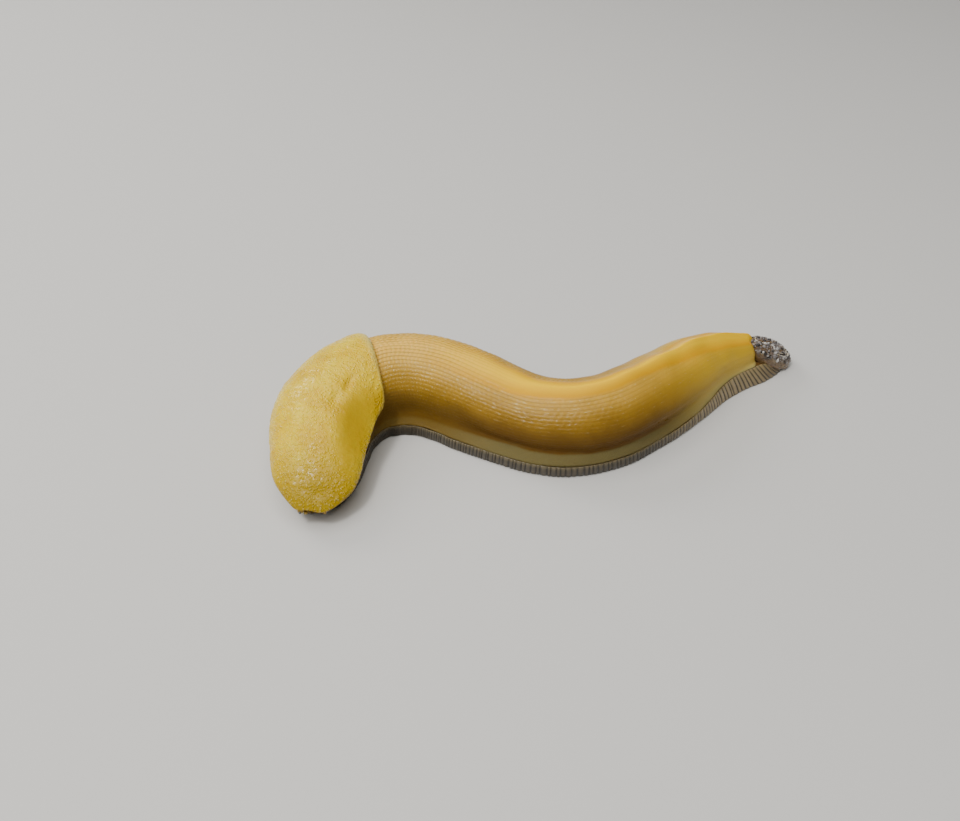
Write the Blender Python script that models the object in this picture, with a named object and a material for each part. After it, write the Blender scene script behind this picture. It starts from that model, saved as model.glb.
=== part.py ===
"""Life-size banana slug, crawling in an S with its head drawn in under the mantle.

Everything is laid out along one crawling line on the floor: a station is a
distance along that line from the snout, and each section of the animal stands
square to it.  +Z is up, the sole lies on z = 0, the tail points to +X.
"""

import math

import bmesh
import bpy
import numpy as np
from mathutils import Vector

MM = 0.001
GAP = 0.3 * MM


def stations(*rows):
    """Rows of (station, size, ...) written in millimetres, as metres."""
    return np.array(rows, float) * MM


# The crawling line: where it starts, its first heading, and each bend as
# (middle station, half length, turn in degrees), positive to the left.
BODY_LENGTH = 209 * MM
LINE_START = (-0.07007, -0.03615)
LINE_HEADING = 92.4
BENDS = (
    (16 * MM, 16 * MM, -4.4),
    (38 * MM, 20 * MM, -53.3),
    (62 * MM, 22 * MM, -64.0),
    (88 * MM, 22 * MM, -1.6),
    (120 * MM, 22 * MM, 65.0),
    (150 * MM, 20 * MM, 9.8),
    (180 * MM, 20 * MM, -26.5),
)

# Half the width of the foot at each station.
FOOT_HALF_WIDTH = stations(
    (2, 5.4), (7, 9.2), (16, 12.4), (34, 14.4), (58, 16.4), (84, 16.4), (112, 14.6),
    (140, 12.9), (165, 12.9), (185, 11.4), (198, 9.6), (206, 6.2), (209, 1.8),
)
# Half the width and the height of head, back and keel at each station.
BACK = stations(
    (-5.5, 4.6, 6.2), (-4, 6.2, 7.4), (2, 8.6, 11.0), (14, 11.2, 16.4), (34, 14.2, 22.0),
    (58, 13.8, 24.8), (84, 13.4, 24.0), (102, 12.9, 22.4), (122, 12.5, 24.2), (140, 12.0, 25.2),
    (165, 11.0, 22.6), (182, 8.6, 18.2), (190, 7.0, 15.8), (194, 5.6, 13.9), (196, 4.6, 12.6),
)
# Half the width and the height of the mantle's outer face at each station.
MANTLE_FACE = stations(
    (-7, 6.7, 6.6), (-4, 9.8, 9.3), (2, 12.6, 13.9), (14, 14.2, 19.8), (30, 17.0, 25.0),
    (46, 16.4, 26.8), (60, 16.0, 27.4),
)

# The striped fringe along the foot: its height, and how it changes at the front,
# beside the keel and at the very end, as (start, length, change in height).
FRINGE_HEIGHT = 4.0 * MM
FRINGE_FRONT = (0, 12 * MM, 1.8 * MM)
FRINGE_TAIL = (150 * MM, 35 * MM, 2.0 * MM)
FRINGE_END = (190 * MM, 16 * MM, -3.6 * MM)
FRINGE_LEAN = 0.3 * MM
FRINGE_TAIL_LEAN = 2.6 * MM
FRINGE_BULGE = 0.3 * MM
RIB_PITCH = 3.6 * MM
RIB_GROOVE = 0.45 * MM
RIB_SHOULDER = 0.16
# The plain skirt between crease and fringe.
SKIRT_BULGE = 0.4 * MM
SKIRT_LEAST = 0.7 * MM
END_NARROWING = 0.28

# The crease between flank and skirt: its height over the fringe, partly a share
# of the body's height, and how far the flank tucks in above it.
CREASE_LIFT = 0.6 * MM
CREASE_SHARE = 0.13
CREASE_FRONT_SHARE = 0.06
CREASE_RISE = (60 * MM, 50 * MM)
CREASE_FADE = (160 * MM, 30 * MM)
CREASE_TUCK = 0.15
CREASE_TURN = 1.25

# The arch of the back: how high its widest point lies, where the keel starts and
# how far on it is full, and how much the keel pinches the arch.
WIDEST_SHARE = 0.30
KEEL = (90 * MM, 90 * MM)
KEEL_PINCH = 0.65
KEEL_EDGE = 0.2
TAIL = (150 * MM, 40 * MM)
TIP = (186 * MM, 20 * MM)

# The mantle's outline, a rounded oval on the back: its middle station, how far
# it reaches forwards and backwards, how far it laps down each side, and how far
# the bend of the body slants it.  On the left, inside the bend, its edge is drawn
# up in a shallow bay, as (middle station, half length, share of the lap).
MANTLE_MIDDLE = 28 * MM
MANTLE_FRONT_REACH = 32.8 * MM
MANTLE_REAR_REACH = 24.5 * MM
MANTLE_LAP = 1.1
MANTLE_BAY = (28 * MM, 13 * MM, 0.19)
MANTLE_SLANT = 2.7 * MM
MANTLE_SQUARENESS = 2.5
MANTLE_SIDES = 48
# The rounded lip: its share of the disk, and how thick it is at the very edge.
MANTLE_LIP = 0.14
MANTLE_LIP_LIFT = 0.4
# The rings of the disk, as shares of its reach, closer together on the lip, and
# how far below the back the dome's underside starts.
MANTLE_OUTER_RINGS = (0.03, 0.16, 0.3, 0.44, 0.56, 0.68, 0.78, 0.86, 0.92, 0.96, 0.985, 1.0)
MANTLE_UNDER_RINGS = (0.97, 0.5, 0.03)
MANTLE_UNDERSIDE = -0.6

# Where the body is parted into lengths.
FOOT_CUTS = (2 * MM, 50 * MM, 100 * MM, 150 * MM, BODY_LENGTH)
BACK_CUTS = (-1.5 * MM, 14 * MM, 32 * MM, 66 * MM, 106 * MM, 146 * MM, 196 * MM)
BACK_NAMES = ("neck", "trunk_front", "trunk_middle", "trunk_rear", "tail")
FOOT_NAMES = ("foot_front", "foot_middle", "foot_rear", "foot_tail")

# Breathing pore on the right of the mantle, with the cleft that runs from it to
# the mantle's edge.  Turn is 0 on the crest and 1 at the widest point.
PORE_STATION = 34 * MM
PORE_TURN = 0.88
PORE_WIDTH = 4.0 * MM
PORE_HEIGHT = 3.0 * MM
PORE_DEPTH = 1.5 * MM
CLEFT_RADIUS = 0.45 * MM
CLEFT_STEP = 0.05
CLEFT_END = 1.2

# The head, drawn in under the mantle's hood: how the snout closes in, as
# (distance behind its front, share of the full section), a mouth between two lip
# lobes, and tentacles drawn in to stubs, as (station, side, height) of root and
# tip, with the radius at each end.
SNOUT = ((0, 0.58), (0.6 * MM, 0.8), (1.5 * MM, 0.93), (3.0 * MM, 1.0))
HOOD_FRONT = -8 * MM
MOUTH_PLACE = (-2.1 * MM, 0, 4.6 * MM)
MOUTH_SIZE = (1.4 * MM, 1.2 * MM, 0.35 * MM)
LIP_PLACE = (-1.4 * MM, 0.6 * MM, 4.6 * MM)
LIP_SIZE = (1.2 * MM, 0.7 * MM, 1.1 * MM)
UPPER_ROOT = (2.0 * MM, 3.0 * MM, 5.8 * MM)
UPPER_TIP = (-3.4 * MM, 3.8 * MM, 5.7 * MM)
UPPER_RADII = (1.1 * MM, 0.95 * MM)
RIGHT_UPPER_EXTRA = 0.5 * MM
LOWER_ROOT = (0.5 * MM, 2.45 * MM, 3.8 * MM)
LOWER_TIP = (-2.5 * MM, 2.8 * MM, 3.4 * MM)
LOWER_RADII = (0.75 * MM, 0.6 * MM)
EYE_RADIUS = 0.45 * MM
EYE_SINK = 0.2 * MM

# The plug of dried slime and grit in the pit at the end of the keel: a lump with
# gentle waves that slopes down to the rear, kept clear of the floor, and grains
# pressed into its upper side.
PLUG_PLACE = (203.4 * MM, -1.2 * MM, 5.6 * MM)
PLUG_SIZE = (8.8 * MM, 5.4 * MM, 4.2 * MM)
PLUG_SLOPE = 0.52
PLUG_LOWEST = 0.3 * MM
PLUG_UNEVENNESS = 0.08
PLUG_WAVES = (5, 4)
PLUG_WAVE_START = 2
GRIT_COUNT = 16
GRIT_RADIUS = (0.7 * MM, 1.25 * MM)
GRIT_STRETCH = (0.7, 1.2)
GRIT_LIFT = (0.1, 1.0)
GRIT_DEPTH = 0.93
GRIT_LOWEST = 2.0 * MM
SEED = 7

# How finely the lofts are divided: rings along the body, and faces from crest to
# widest point.
RING_SPACING = 2.7 * MM
FEWEST_RINGS = 4
DOME_TURNS = 8


def ease(x):
    """Smooth step from 0 to 1."""
    x = np.clip(x, 0, 1)
    return x * x * (3 - 2 * x)


def along(table, column, station):
    """One column of a station table as a cubic that never overshoots its rows."""
    where, size = table[:, 0], table[:, column]
    gap = np.diff(where)
    slope = np.diff(size) / gap
    before, after = slope[:-1], slope[1:]
    monotone = before * after > 0
    weight = (2 * gap[1:] + gap[:-1]) / np.where(monotone, before, 1)
    weight += (gap[1:] + 2 * gap[:-1]) / np.where(monotone, after, 1)
    middle = np.where(monotone, 3 * (gap[1:] + gap[:-1]) / weight, 0)
    tangent = np.concatenate([slope[:1], middle, slope[-1:]])
    station = np.clip(station, where[0], where[-1])
    i = np.clip(np.searchsorted(where, station) - 1, 0, len(gap) - 1)
    t = (station - where[i]) / gap[i]
    start = (2 * t**3 - 3 * t**2 + 1) * size[i] + (t**3 - 2 * t**2 + t) * gap[i] * tangent[i]
    end = (3 * t**2 - 2 * t**3) * size[i + 1] + (t**3 - t**2) * gap[i] * tangent[i + 1]
    return start + end


def crawling_line(station):
    """x, y and heading at stations: the heading's unit vector summed along the line."""
    fine = np.linspace(-20 * MM, BODY_LENGTH + 20 * MM, 2461)
    heading = np.full(len(fine), math.radians(LINE_HEADING))
    for middle, half, turn in BENDS:
        heading += math.radians(turn) * ease((fine - middle + half) / (2 * half))
    step = fine[1] - fine[0]
    x = np.cumsum(np.cos(heading)) * step
    y = np.cumsum(np.sin(heading)) * step
    x += LINE_START[0] - np.interp(0, fine, x)
    y += LINE_START[1] - np.interp(0, fine, y)
    return tuple(np.interp(station, fine, values) for values in (x, y, heading))


def place(station, side, height):
    """World points from a station, a distance to the slug's right, and a height."""
    station, side, height = np.broadcast_arrays(station, side, height)
    x, y, heading = crawling_line(station)
    return np.stack([x - np.sin(heading) * side, y + np.cos(heading) * side, height], -1)


def past(start, length, station):
    """0 before a stretch of the line, 1 after it, and a smooth step on it."""
    return ease((station - start) / length)


def fringe_height(station):
    """The striped fringe is thin at both ends and tallest beside the tail's keel."""
    changes = (FRINGE_FRONT, FRINGE_TAIL, FRINGE_END)
    rise = sum(change * past(start, length, station) for start, length, change in changes)
    return FRINGE_HEIGHT - FRINGE_FRONT[2] + rise


def crease_height(station):
    """Where the flank meets the skirt above the fringe, low at both ends."""
    share = CREASE_FRONT_SHARE + (CREASE_SHARE - CREASE_FRONT_SHARE) * past(*CREASE_RISE, station)
    share *= 1 - past(*CREASE_FADE, station)
    return fringe_height(station) + CREASE_LIFT + share * along(BACK, 2, station)


def tuck(station):
    """How far the flank tucks in above the crease, as a share of its width."""
    return CREASE_TUCK * (1 - past(*TAIL, station))


def arch(station, width, height, turn):
    """(side, height) on the arch over the back, for a turn of 0 at the crest.

    A quarter of an ellipse from the crest to the widest point at turn 1, pinched
    towards a keel along the tail, and below it a tuck that ends at the crease.
    """
    crease = crease_height(station)
    widest = crease + WIDEST_SHARE * (height - crease)
    keel = past(*KEEL, station)
    angle = np.minimum(turn, 1) * math.pi / 2
    under = np.maximum(turn - 1, 0) / (CREASE_TURN - 1)
    side = width * np.maximum(np.sin(angle), 0) ** (1 + KEEL_PINCH * keel) * (1 - tuck(station) * under**2)
    rise = (height - widest) * np.maximum(np.cos(angle), 0) ** (1 + KEEL_EDGE * keel)
    return side, widest + rise + (crease - widest) * under


def material(name, colour, roughness):
    """A Principled BSDF in one sRGB colour."""
    linear = [((c + 0.055) / 1.055) ** 2.4 if c > 0.04045 else c / 12.92 for c in colour]
    made = bpy.data.materials.new(name)
    made.use_nodes = True
    shader = made.node_tree.nodes["Principled BSDF"]
    shader.inputs["Base Color"].default_value = (*linear, 1)
    shader.inputs["Roughness"].default_value = roughness
    made.diffuse_color = (*linear, 1)
    return made


def mesh_object(name, mesh, collection, finish):
    """Puts a mesh in the scene with smooth shading and one material."""
    mesh.shade_smooth()
    mesh.set_sharp_from_angle(angle=math.radians(50))
    if finish is not None:
        mesh.materials.append(finish)
    made = bpy.data.objects.new(name, mesh)
    collection.objects.link(made)
    return made


def loft(name, rings, collection, finish=None):
    """A closed body through rings of equally many points, with flat ends."""
    count, size = rings.shape[:2]
    mesh = bpy.data.meshes.new(name)
    form = bmesh.new()
    points = [[form.verts.new(p) for p in ring] for ring in rings.tolist()]
    for near, far in zip(points, points[1:]):
        for i in range(size):
            j = (i + 1) % size
            form.faces.new((near[i], near[j], far[j], far[i]))
    form.faces.new(points[0][::-1])
    form.faces.new(points[count - 1])
    bmesh.ops.recalc_face_normals(form, faces=form.faces)
    form.to_mesh(mesh)
    form.free()
    return mesh_object(name, mesh, collection, finish)


def ellipsoid(name, centre, size, collection, heading=0.0, detail=2):
    """An icosphere stretched to half sizes along, across and up, turned to a heading."""
    mesh = bpy.data.meshes.new(name)
    form = bmesh.new()
    bmesh.ops.create_icosphere(form, subdivisions=detail, radius=1)
    bmesh.ops.scale(form, vec=size, verts=form.verts)
    form.to_mesh(mesh)
    form.free()
    made = mesh_object(name, mesh, collection, None)
    made.location = centre
    made.rotation_euler = (0, 0, heading)
    return made


def heading_at(station):
    """The direction of the crawling line at one station, in radians from +X."""
    return float(crawling_line(station)[2])


def apply_boolean(target, operation, tools):
    """Joins or cuts a body with others, applies it, and removes the others."""
    group = bpy.data.collections.new(target.name + "_tools")
    cutters.children.link(group)
    for tool in tools:
        for home in list(tool.users_collection):
            home.objects.unlink(tool)
        group.objects.link(tool)
    modifier = target.modifiers.new(operation.lower(), "BOOLEAN")
    modifier.operation = operation
    modifier.operand_type = "COLLECTION"
    modifier.collection = group
    bpy.context.view_layer.update()
    evaluated = target.evaluated_get(bpy.context.evaluated_depsgraph_get())
    mesh = bpy.data.meshes.new_from_object(evaluated)
    target.modifiers.clear()
    target.data = mesh
    for tool in tools:
        bpy.data.objects.remove(tool)
    bpy.data.collections.remove(group)
    return target


def keep_largest(target):
    """Leaves only the largest closed surface of a body."""
    form = bmesh.new()
    form.from_mesh(target.data)
    left = set(form.verts)
    islands = []
    while left:
        island, edge = set(), [left.pop()]
        while edge:
            vertex = edge.pop()
            island.add(vertex)
            for near in (link.other_vert(vertex) for link in vertex.link_edges):
                if near in left:
                    left.remove(near)
                    edge.append(near)
        islands.append(island)
    islands.sort(key=len)
    for island in islands[:-1]:
        bmesh.ops.delete(form, geom=list(island), context="VERTS")
    form.to_mesh(target.data)
    form.free()
    return target


def ring_stations(start, end):
    """Evenly spaced stations from one cut to the next, with both ends."""
    return np.linspace(start, end, max(FEWEST_RINGS, round((end - start) / RING_SPACING)))


def back_rings(where, grow=0.0, share=1.0):
    """Rings of the body above the crease: over the back and flat underneath."""
    station = where[:, None]
    share = np.broadcast_to(share, where.shape)[:, None]
    dome = np.linspace(0, 1, DOME_TURNS + 1)
    turn = np.concatenate([dome, (CREASE_TURN + 1) / 2 + np.array([0, (CREASE_TURN - 1) / 2])])[None, :]
    crease = crease_height(station)
    width = along(BACK, 1, station) * share + grow
    height = crease + (along(BACK, 2, station) - crease) * share + grow
    side, rise = arch(station, width, height, turn)
    rise[:, -1] -= grow
    side = np.concatenate([-side[:, ::-1], side[:, 1:]], 1)
    rise = np.concatenate([rise[:, ::-1], rise[:, 1:]], 1)
    return place(station, side, rise)


def foot_rings(start, end, grow=0.0):
    """Rings of the foot: skirt, ribbed fringe and flat sole, one groove a rib."""
    ribs = max(1, round((end - start) / RIB_PITCH))
    pitch = (end - start) / ribs
    base = start + pitch * np.arange(ribs)
    where = np.concatenate([base, base + RIB_SHOULDER * pitch, base + (1 - RIB_SHOULDER) * pitch, [end]])
    groove = np.concatenate([np.ones(ribs), np.zeros(2 * ribs), [1]]) * RIB_GROOVE
    order = np.argsort(where)
    station, groove = where[order], groove[order]
    tip = past(*TIP, station)
    edge = along(FOOT_HALF_WIDTH, 1, station) + grow
    fringe = fringe_height(station) + grow
    lean = FRINGE_LEAN + FRINGE_TAIL_LEAN * past(*TAIL, station) * (1 - tip)
    top = edge - lean - END_NARROWING * edge * tip
    crease = crease_height(station) - GAP + 2 * grow
    flank = along(BACK, 1, station) * (1 - tuck(station))
    flank = np.minimum(flank, top - SKIRT_LEAST * (1 - tip)) * (1 - END_NARROWING * tip)
    profile = (
        (flank, crease),
        ((flank + top) / 2 + SKIRT_BULGE * (1 - tip), (crease + fringe) / 2 + SKIRT_BULGE * (1 - tip)),
        (top - groove, fringe),
        ((top + edge) / 2 + FRINGE_BULGE - groove, fringe / 2),
        (edge - groove, np.full(len(edge), -grow)),
    )
    side = np.stack([p[0] for p in profile], 1)
    rise = np.stack([p[1] for p in profile], 1)
    side = np.concatenate([-side[:, ::-1], side], 1)
    rise = np.concatenate([rise[:, ::-1], rise], 1)
    return place(station[:, None], side, rise)


def mantle_face(spread, bearing, lift):
    """Points on the mantle's disk, from 0 at its middle to 1 at its edge.

    The disk is a rounded oval in station and turn.  A lift of 0 lies just over
    the back, and a lift of 1 on the mantle's outer face.
    """
    n = MANTLE_SQUARENESS
    oval = (np.abs(np.cos(bearing)) ** n + np.abs(np.sin(bearing)) ** n) ** (-1 / n)
    ahead = spread * oval * np.cos(bearing)
    across = spread * oval * np.sin(bearing)
    reach = np.where(ahead > 0, MANTLE_REAR_REACH, MANTLE_FRONT_REACH)
    station = MANTLE_MIDDLE + ahead * reach + across * MANTLE_SLANT
    middle, length, depth = MANTLE_BAY
    bay = np.where(across < 0, depth * np.exp(-(((station - middle) / length) ** 2)), 0)
    turn = MANTLE_LAP * np.abs(across) * (1 - bay)
    low_side, low = arch(station, along(BACK, 1, station), along(BACK, 2, station), turn)
    high_side, high = arch(station, along(MANTLE_FACE, 1, station), along(MANTLE_FACE, 2, station), turn)
    side = low_side + (high_side - low_side) * lift
    rise = low + (high - low) * lift
    return place(station, side * np.sign(across), rise)


def build_mantle():
    """The shield: a cape over the back, thick in the middle, with a rounded lip.

    It starts as a solid dome whose underside lies inside the back, and the back,
    grown by the gap, is then cut out of it.
    """
    bearings = np.arange(MANTLE_SIDES) * math.tau / MANTLE_SIDES
    outer = np.array(MANTLE_OUTER_RINGS)
    lip = np.clip((outer - 1 + MANTLE_LIP) / MANTLE_LIP, 0, 1)
    outer_lift = MANTLE_LIP_LIFT + (1 - MANTLE_LIP_LIFT) * np.sqrt(1 - lip**2)
    spread = np.concatenate([outer, MANTLE_UNDER_RINGS])
    lift = np.concatenate([outer_lift, [MANTLE_UNDERSIDE] * len(MANTLE_UNDER_RINGS)])
    rings = mantle_face(spread[:, None], bearings[None, :], lift[:, None])
    mantle = loft("mantle", rings, slug, mantle_skin)
    grown = loft("grown_back", back_rings(ring_stations(HOOD_FRONT, BACK_CUTS[4]), GAP), slug)
    return keep_largest(apply_boolean(mantle, "DIFFERENCE", [grown]))


def mantle_point(station, turn):
    """One point on the right of the mantle's outer face."""
    width, height = along(MANTLE_FACE, 1, station), along(MANTLE_FACE, 2, station)
    side, rise = arch(station, width, height, turn)
    return Vector(place(station, side, rise).tolist())


def cut_breathing_pore(mantle):
    """An oval pit in the mantle's right edge and the cleft below it."""
    centre = mantle_point(PORE_STATION, PORE_TURN)
    forward = mantle_point(PORE_STATION + MM, PORE_TURN) - centre
    upward = mantle_point(PORE_STATION, PORE_TURN - CLEFT_STEP) - centre
    outward = upward.cross(forward).normalized()
    if outward.dot(centre - Vector(place(PORE_STATION, 0, centre.z).tolist())) < 0:
        outward = -outward
    pit = ellipsoid("pit", centre, (PORE_WIDTH / 2, PORE_HEIGHT / 2, PORE_DEPTH), slug)
    pit.rotation_euler = outward.to_track_quat("Z", "Y").to_euler()
    route = [mantle_point(PORE_STATION, turn) for turn in np.arange(PORE_TURN, CLEFT_END, CLEFT_STEP)]
    cleft = tube("cleft", route, [CLEFT_RADIUS] * len(route))
    return keep_largest(apply_boolean(mantle, "DIFFERENCE", [pit, cleft]))


def tube(name, points, radii):
    """A closed round tube along points, with a radius at each: a curve made a mesh."""
    curve = bpy.data.curves.new(name, "CURVE")
    curve.dimensions = "3D"
    curve.bevel_depth = MM
    curve.bevel_resolution = 2
    curve.use_fill_caps = True
    route = curve.splines.new("POLY")
    route.points.add(len(points) - 1)
    for spot, point, radius in zip(route.points, points, radii):
        spot.co = (*point, 1)
        spot.radius = radius / MM
    guide = bpy.data.objects.new(name + "_curve", curve)
    slug.objects.link(guide)
    bpy.context.view_layer.update()
    evaluated = guide.evaluated_get(bpy.context.evaluated_depsgraph_get())
    mesh = bpy.data.meshes.new_from_object(evaluated)
    form = bmesh.new()
    form.from_mesh(mesh)
    bmesh.ops.remove_doubles(form, verts=form.verts, dist=0.001 * MM)
    form.to_mesh(mesh)
    form.free()
    mesh.materials.clear()
    made = mesh_object(name, mesh, slug, None)
    made.matrix_world = guide.matrix_world
    bpy.data.objects.remove(guide)
    return made


def head_rings(grow=0.0):
    """The head's rings close in towards its blunt snout."""
    behind, share = np.array(SNOUT).T
    rest = ring_stations(BACK_CUTS[0] + 5 * MM, BACK_CUTS[1] - GAP / 2)
    where = np.concatenate([BACK_CUTS[0] + behind - grow, rest])
    return back_rings(where, grow, np.concatenate([share, np.ones(len(rest))]))


def build_head():
    """The drawn-in head: a blunt snout, two lip lobes and the slit of the mouth."""
    head = loft("head", head_rings(), slug, head_skin)
    heading = heading_at(0)
    lips = []
    for side in (-1, 1):
        station, across, height = LIP_PLACE
        centre = place(station, side * across, height)
        lips.append(ellipsoid("lip", centre, LIP_SIZE, slug, heading))
    apply_boolean(head, "UNION", lips)
    mouth = ellipsoid("mouth", place(*MOUTH_PLACE), MOUTH_SIZE, slug, heading, detail=2)
    return keep_largest(apply_boolean(head, "DIFFERENCE", [mouth]))


def tentacle(name, root, tip, radii, side, extra=0.0):
    """A drawn-in tentacle: a tapering stub with a round tip, cut clear of the head."""
    start = place(root[0], side * root[1], root[2])
    axis = place(tip[0], side * tip[1], tip[2]) - start
    length = np.linalg.norm(axis) + extra
    axis /= np.linalg.norm(axis)
    round_tip = np.radians([0, 22, 44, 64, 80])
    reach = np.concatenate([[0], length - radii[1] * (1 - np.sin(round_tip))])
    radius = np.concatenate([[radii[0]], radii[1] * np.cos(round_tip)])
    stub = tube(name, start + axis * reach[:, None], radius)
    stub.data.materials.append(head_skin)
    grown = loft("grown_head", head_rings(GAP), slug)
    keep_largest(apply_boolean(stub, "DIFFERENCE", [grown]))
    return stub, start + axis * length, axis


def build_tentacles():
    """Two upper tentacles with an eye on each tip, and two lower ones."""
    for side, word in ((-1, "left"), (1, "right")):
        extra = RIGHT_UPPER_EXTRA if side > 0 else 0.0
        stub, tip, axis = tentacle("upper_tentacle_" + word, UPPER_ROOT, UPPER_TIP, UPPER_RADII, side, extra)
        centre = tip - axis * EYE_SINK
        socket = ellipsoid("socket", centre, [EYE_RADIUS + GAP] * 3, slug)
        keep_largest(apply_boolean(stub, "DIFFERENCE", [socket]))
        eye = ellipsoid("eye_" + word, centre, [EYE_RADIUS] * 3, slug)
        eye.data.materials.append(eye_black)
        tentacle("lower_tentacle_" + word, LOWER_ROOT, LOWER_TIP, LOWER_RADII, side)


def build_back():
    """Neck, three lengths of trunk and the keeled tail, parted by thin cuts."""
    for name, start, end in zip(BACK_NAMES, BACK_CUTS[1:], BACK_CUTS[2:]):
        last = end if name == "tail" else end - GAP / 2
        loft(name, back_rings(ring_stations(start + GAP / 2, last)), slug, back_skin)


def build_foot():
    """Four lengths of foot with the ribbed fringe along both edges."""
    for name, start, end in zip(FOOT_NAMES, FOOT_CUTS, FOOT_CUTS[1:]):
        first = start if name == "foot_front" else start + GAP / 2
        last = end if name == "foot_tail" else end - GAP / 2
        loft(name, foot_rings(first, last), slug, foot_skin)


def build_plug():
    """A lump of dried slime with grit, sitting behind the keel on the foot's end."""
    draw = np.random.default_rng(SEED)
    station, side, height = PLUG_PLACE
    heading = heading_at(station)
    plug = ellipsoid("slime_plug", place(station, side, height), PLUG_SIZE, slug, heading, detail=3)
    for vertex in plug.data.vertices:
        ahead, across = vertex.co.x / PLUG_SIZE[0], vertex.co.y / PLUG_SIZE[1]
        wave = math.sin(PLUG_WAVES[0] * ahead + PLUG_WAVE_START) * math.cos(PLUG_WAVES[1] * across)
        vertex.co *= 1 + PLUG_UNEVENNESS * wave
        vertex.co.z = max(vertex.co.z - PLUG_SLOPE * vertex.co.x, PLUG_LOWEST - height)
    grit = []
    for _ in range(GRIT_COUNT):
        bearing, lift = draw.uniform(0, math.tau), draw.uniform(*GRIT_LIFT)
        flat = math.sqrt(1 - lift**2)
        outward = np.array([flat * math.cos(bearing), flat * math.sin(bearing), lift])
        offset = outward * PLUG_SIZE * GRIT_DEPTH
        level = max(height + offset[2] - PLUG_SLOPE * offset[0], GRIT_LOWEST)
        centre = place(station + offset[0], side + offset[1], level)
        size = draw.uniform(*GRIT_RADIUS) * draw.uniform(*GRIT_STRETCH, 3)
        grit.append(ellipsoid("grit", centre, size, slug, draw.uniform(0, math.tau), detail=1))
    apply_boolean(plug, "UNION", grit)
    tail = loft("grown_tail", back_rings(ring_stations(BACK_CUTS[-2], BACK_CUTS[-1] + GAP), GAP), slug)
    foot = loft("grown_foot", foot_rings(FOOT_CUTS[-2], FOOT_CUTS[-1] + GAP, GAP), slug)
    keep_largest(apply_boolean(plug, "DIFFERENCE", [tail, foot]))
    plug.data.materials.append(slime_grit)


for leftover in list(bpy.data.objects):
    bpy.data.objects.remove(leftover)

slug = bpy.data.collections.new("banana_slug")
bpy.context.scene.collection.children.link(slug)
cutters = bpy.data.collections.new("cutters")
cutters.hide_render = True
bpy.context.scene.collection.children.link(cutters)

mantle_skin = material("mantle_skin", (0.83, 0.70, 0.22), 0.35)
back_skin = material("back_skin", (0.80, 0.60, 0.18), 0.35)
head_skin = material("head_skin", (0.80, 0.66, 0.26), 0.35)
foot_skin = material("foot_skin", (0.55, 0.50, 0.38), 0.40)
eye_black = material("eye_black", (0.05, 0.04, 0.04), 0.15)
slime_grit = material("slime_grit", (0.38, 0.34, 0.32), 0.45)

build_foot()
build_back()
build_head()
build_tentacles()
cut_breathing_pore(build_mantle())
build_plug()
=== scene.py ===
import functools
import math

import bpy
import numpy as np
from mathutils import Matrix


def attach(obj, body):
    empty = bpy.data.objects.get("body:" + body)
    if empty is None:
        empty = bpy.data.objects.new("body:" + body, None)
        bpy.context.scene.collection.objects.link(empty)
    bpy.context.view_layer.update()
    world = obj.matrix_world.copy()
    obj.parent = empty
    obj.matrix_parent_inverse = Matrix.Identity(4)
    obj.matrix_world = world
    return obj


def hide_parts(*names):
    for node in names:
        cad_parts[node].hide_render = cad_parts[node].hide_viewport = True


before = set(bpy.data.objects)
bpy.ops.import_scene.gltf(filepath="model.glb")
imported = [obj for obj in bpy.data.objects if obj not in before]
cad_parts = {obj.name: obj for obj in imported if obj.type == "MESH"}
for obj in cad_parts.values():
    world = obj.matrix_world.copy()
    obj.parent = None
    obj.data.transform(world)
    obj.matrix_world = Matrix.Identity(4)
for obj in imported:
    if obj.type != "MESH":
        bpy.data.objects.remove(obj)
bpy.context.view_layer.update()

# The body wall: one soft muscular skin from the snout to the end of the keel, with no
# bone under it. It is furrowed lengthwise into rows of long tubercles, folds in at a
# crease low on the flank, and runs out below that as a smooth skirt down to the foot.
MM = 0.001
BODY_LENGTH = 209 * MM
LINE_START = (-0.07007, -0.03615)
LINE_HEADING = 92.4
LINE_MARGIN = 20 * MM
LINE_POINTS = 2461
# The bends of the crawling line as (middle, half length, degrees turned to the left).
BENDS = (
    (16 * MM, 16 * MM, -4.4),
    (38 * MM, 20 * MM, -53.3),
    (62 * MM, 22 * MM, -64.0),
    (88 * MM, 22 * MM, -1.6),
    (120 * MM, 22 * MM, 65.0),
    (150 * MM, 20 * MM, 9.8),
    (180 * MM, 20 * MM, -26.5),
)


def stations(*rows):
    """Rows of (station, size, ...) written in millimetres, as metres."""
    return np.array(rows, float) * MM


BACK = stations(
    (-5.5, 4.6, 6.2), (-4, 6.2, 7.4), (2, 8.6, 11.0), (14, 11.2, 16.4), (34, 14.2, 22.0),
    (58, 13.8, 24.8), (84, 13.4, 24.0), (102, 12.9, 22.4), (122, 12.5, 24.2), (140, 12.0, 25.2),
    (165, 11.0, 22.6), (182, 8.6, 18.2), (190, 7.0, 15.8), (194, 5.6, 13.9), (196, 4.6, 12.6),
)
FOOT_HALF_WIDTH = stations(
    (2, 5.4), (7, 9.2), (16, 12.4), (34, 14.4), (58, 16.4), (84, 16.4), (112, 14.6),
    (140, 12.9), (165, 12.9), (185, 11.4), (198, 9.6), (206, 6.2), (209, 1.8),
)
FRINGE_HEIGHT = 4.0 * MM
FRINGE_FRONT = (0, 12 * MM, 1.8 * MM)
FRINGE_TAIL = (150 * MM, 35 * MM, 2.0 * MM)
FRINGE_END = (196 * MM, 12 * MM, -2.8 * MM)
FRINGE_LEAN = 0.3 * MM
FRINGE_TAIL_LEAN = 2.6 * MM
CREASE_LIFT = 0.6 * MM
CREASE_SHARE = 0.13
CREASE_FRONT_SHARE = 0.06
CREASE_RISE = (60 * MM, 50 * MM)
CREASE_FADE = (160 * MM, 30 * MM)
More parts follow.
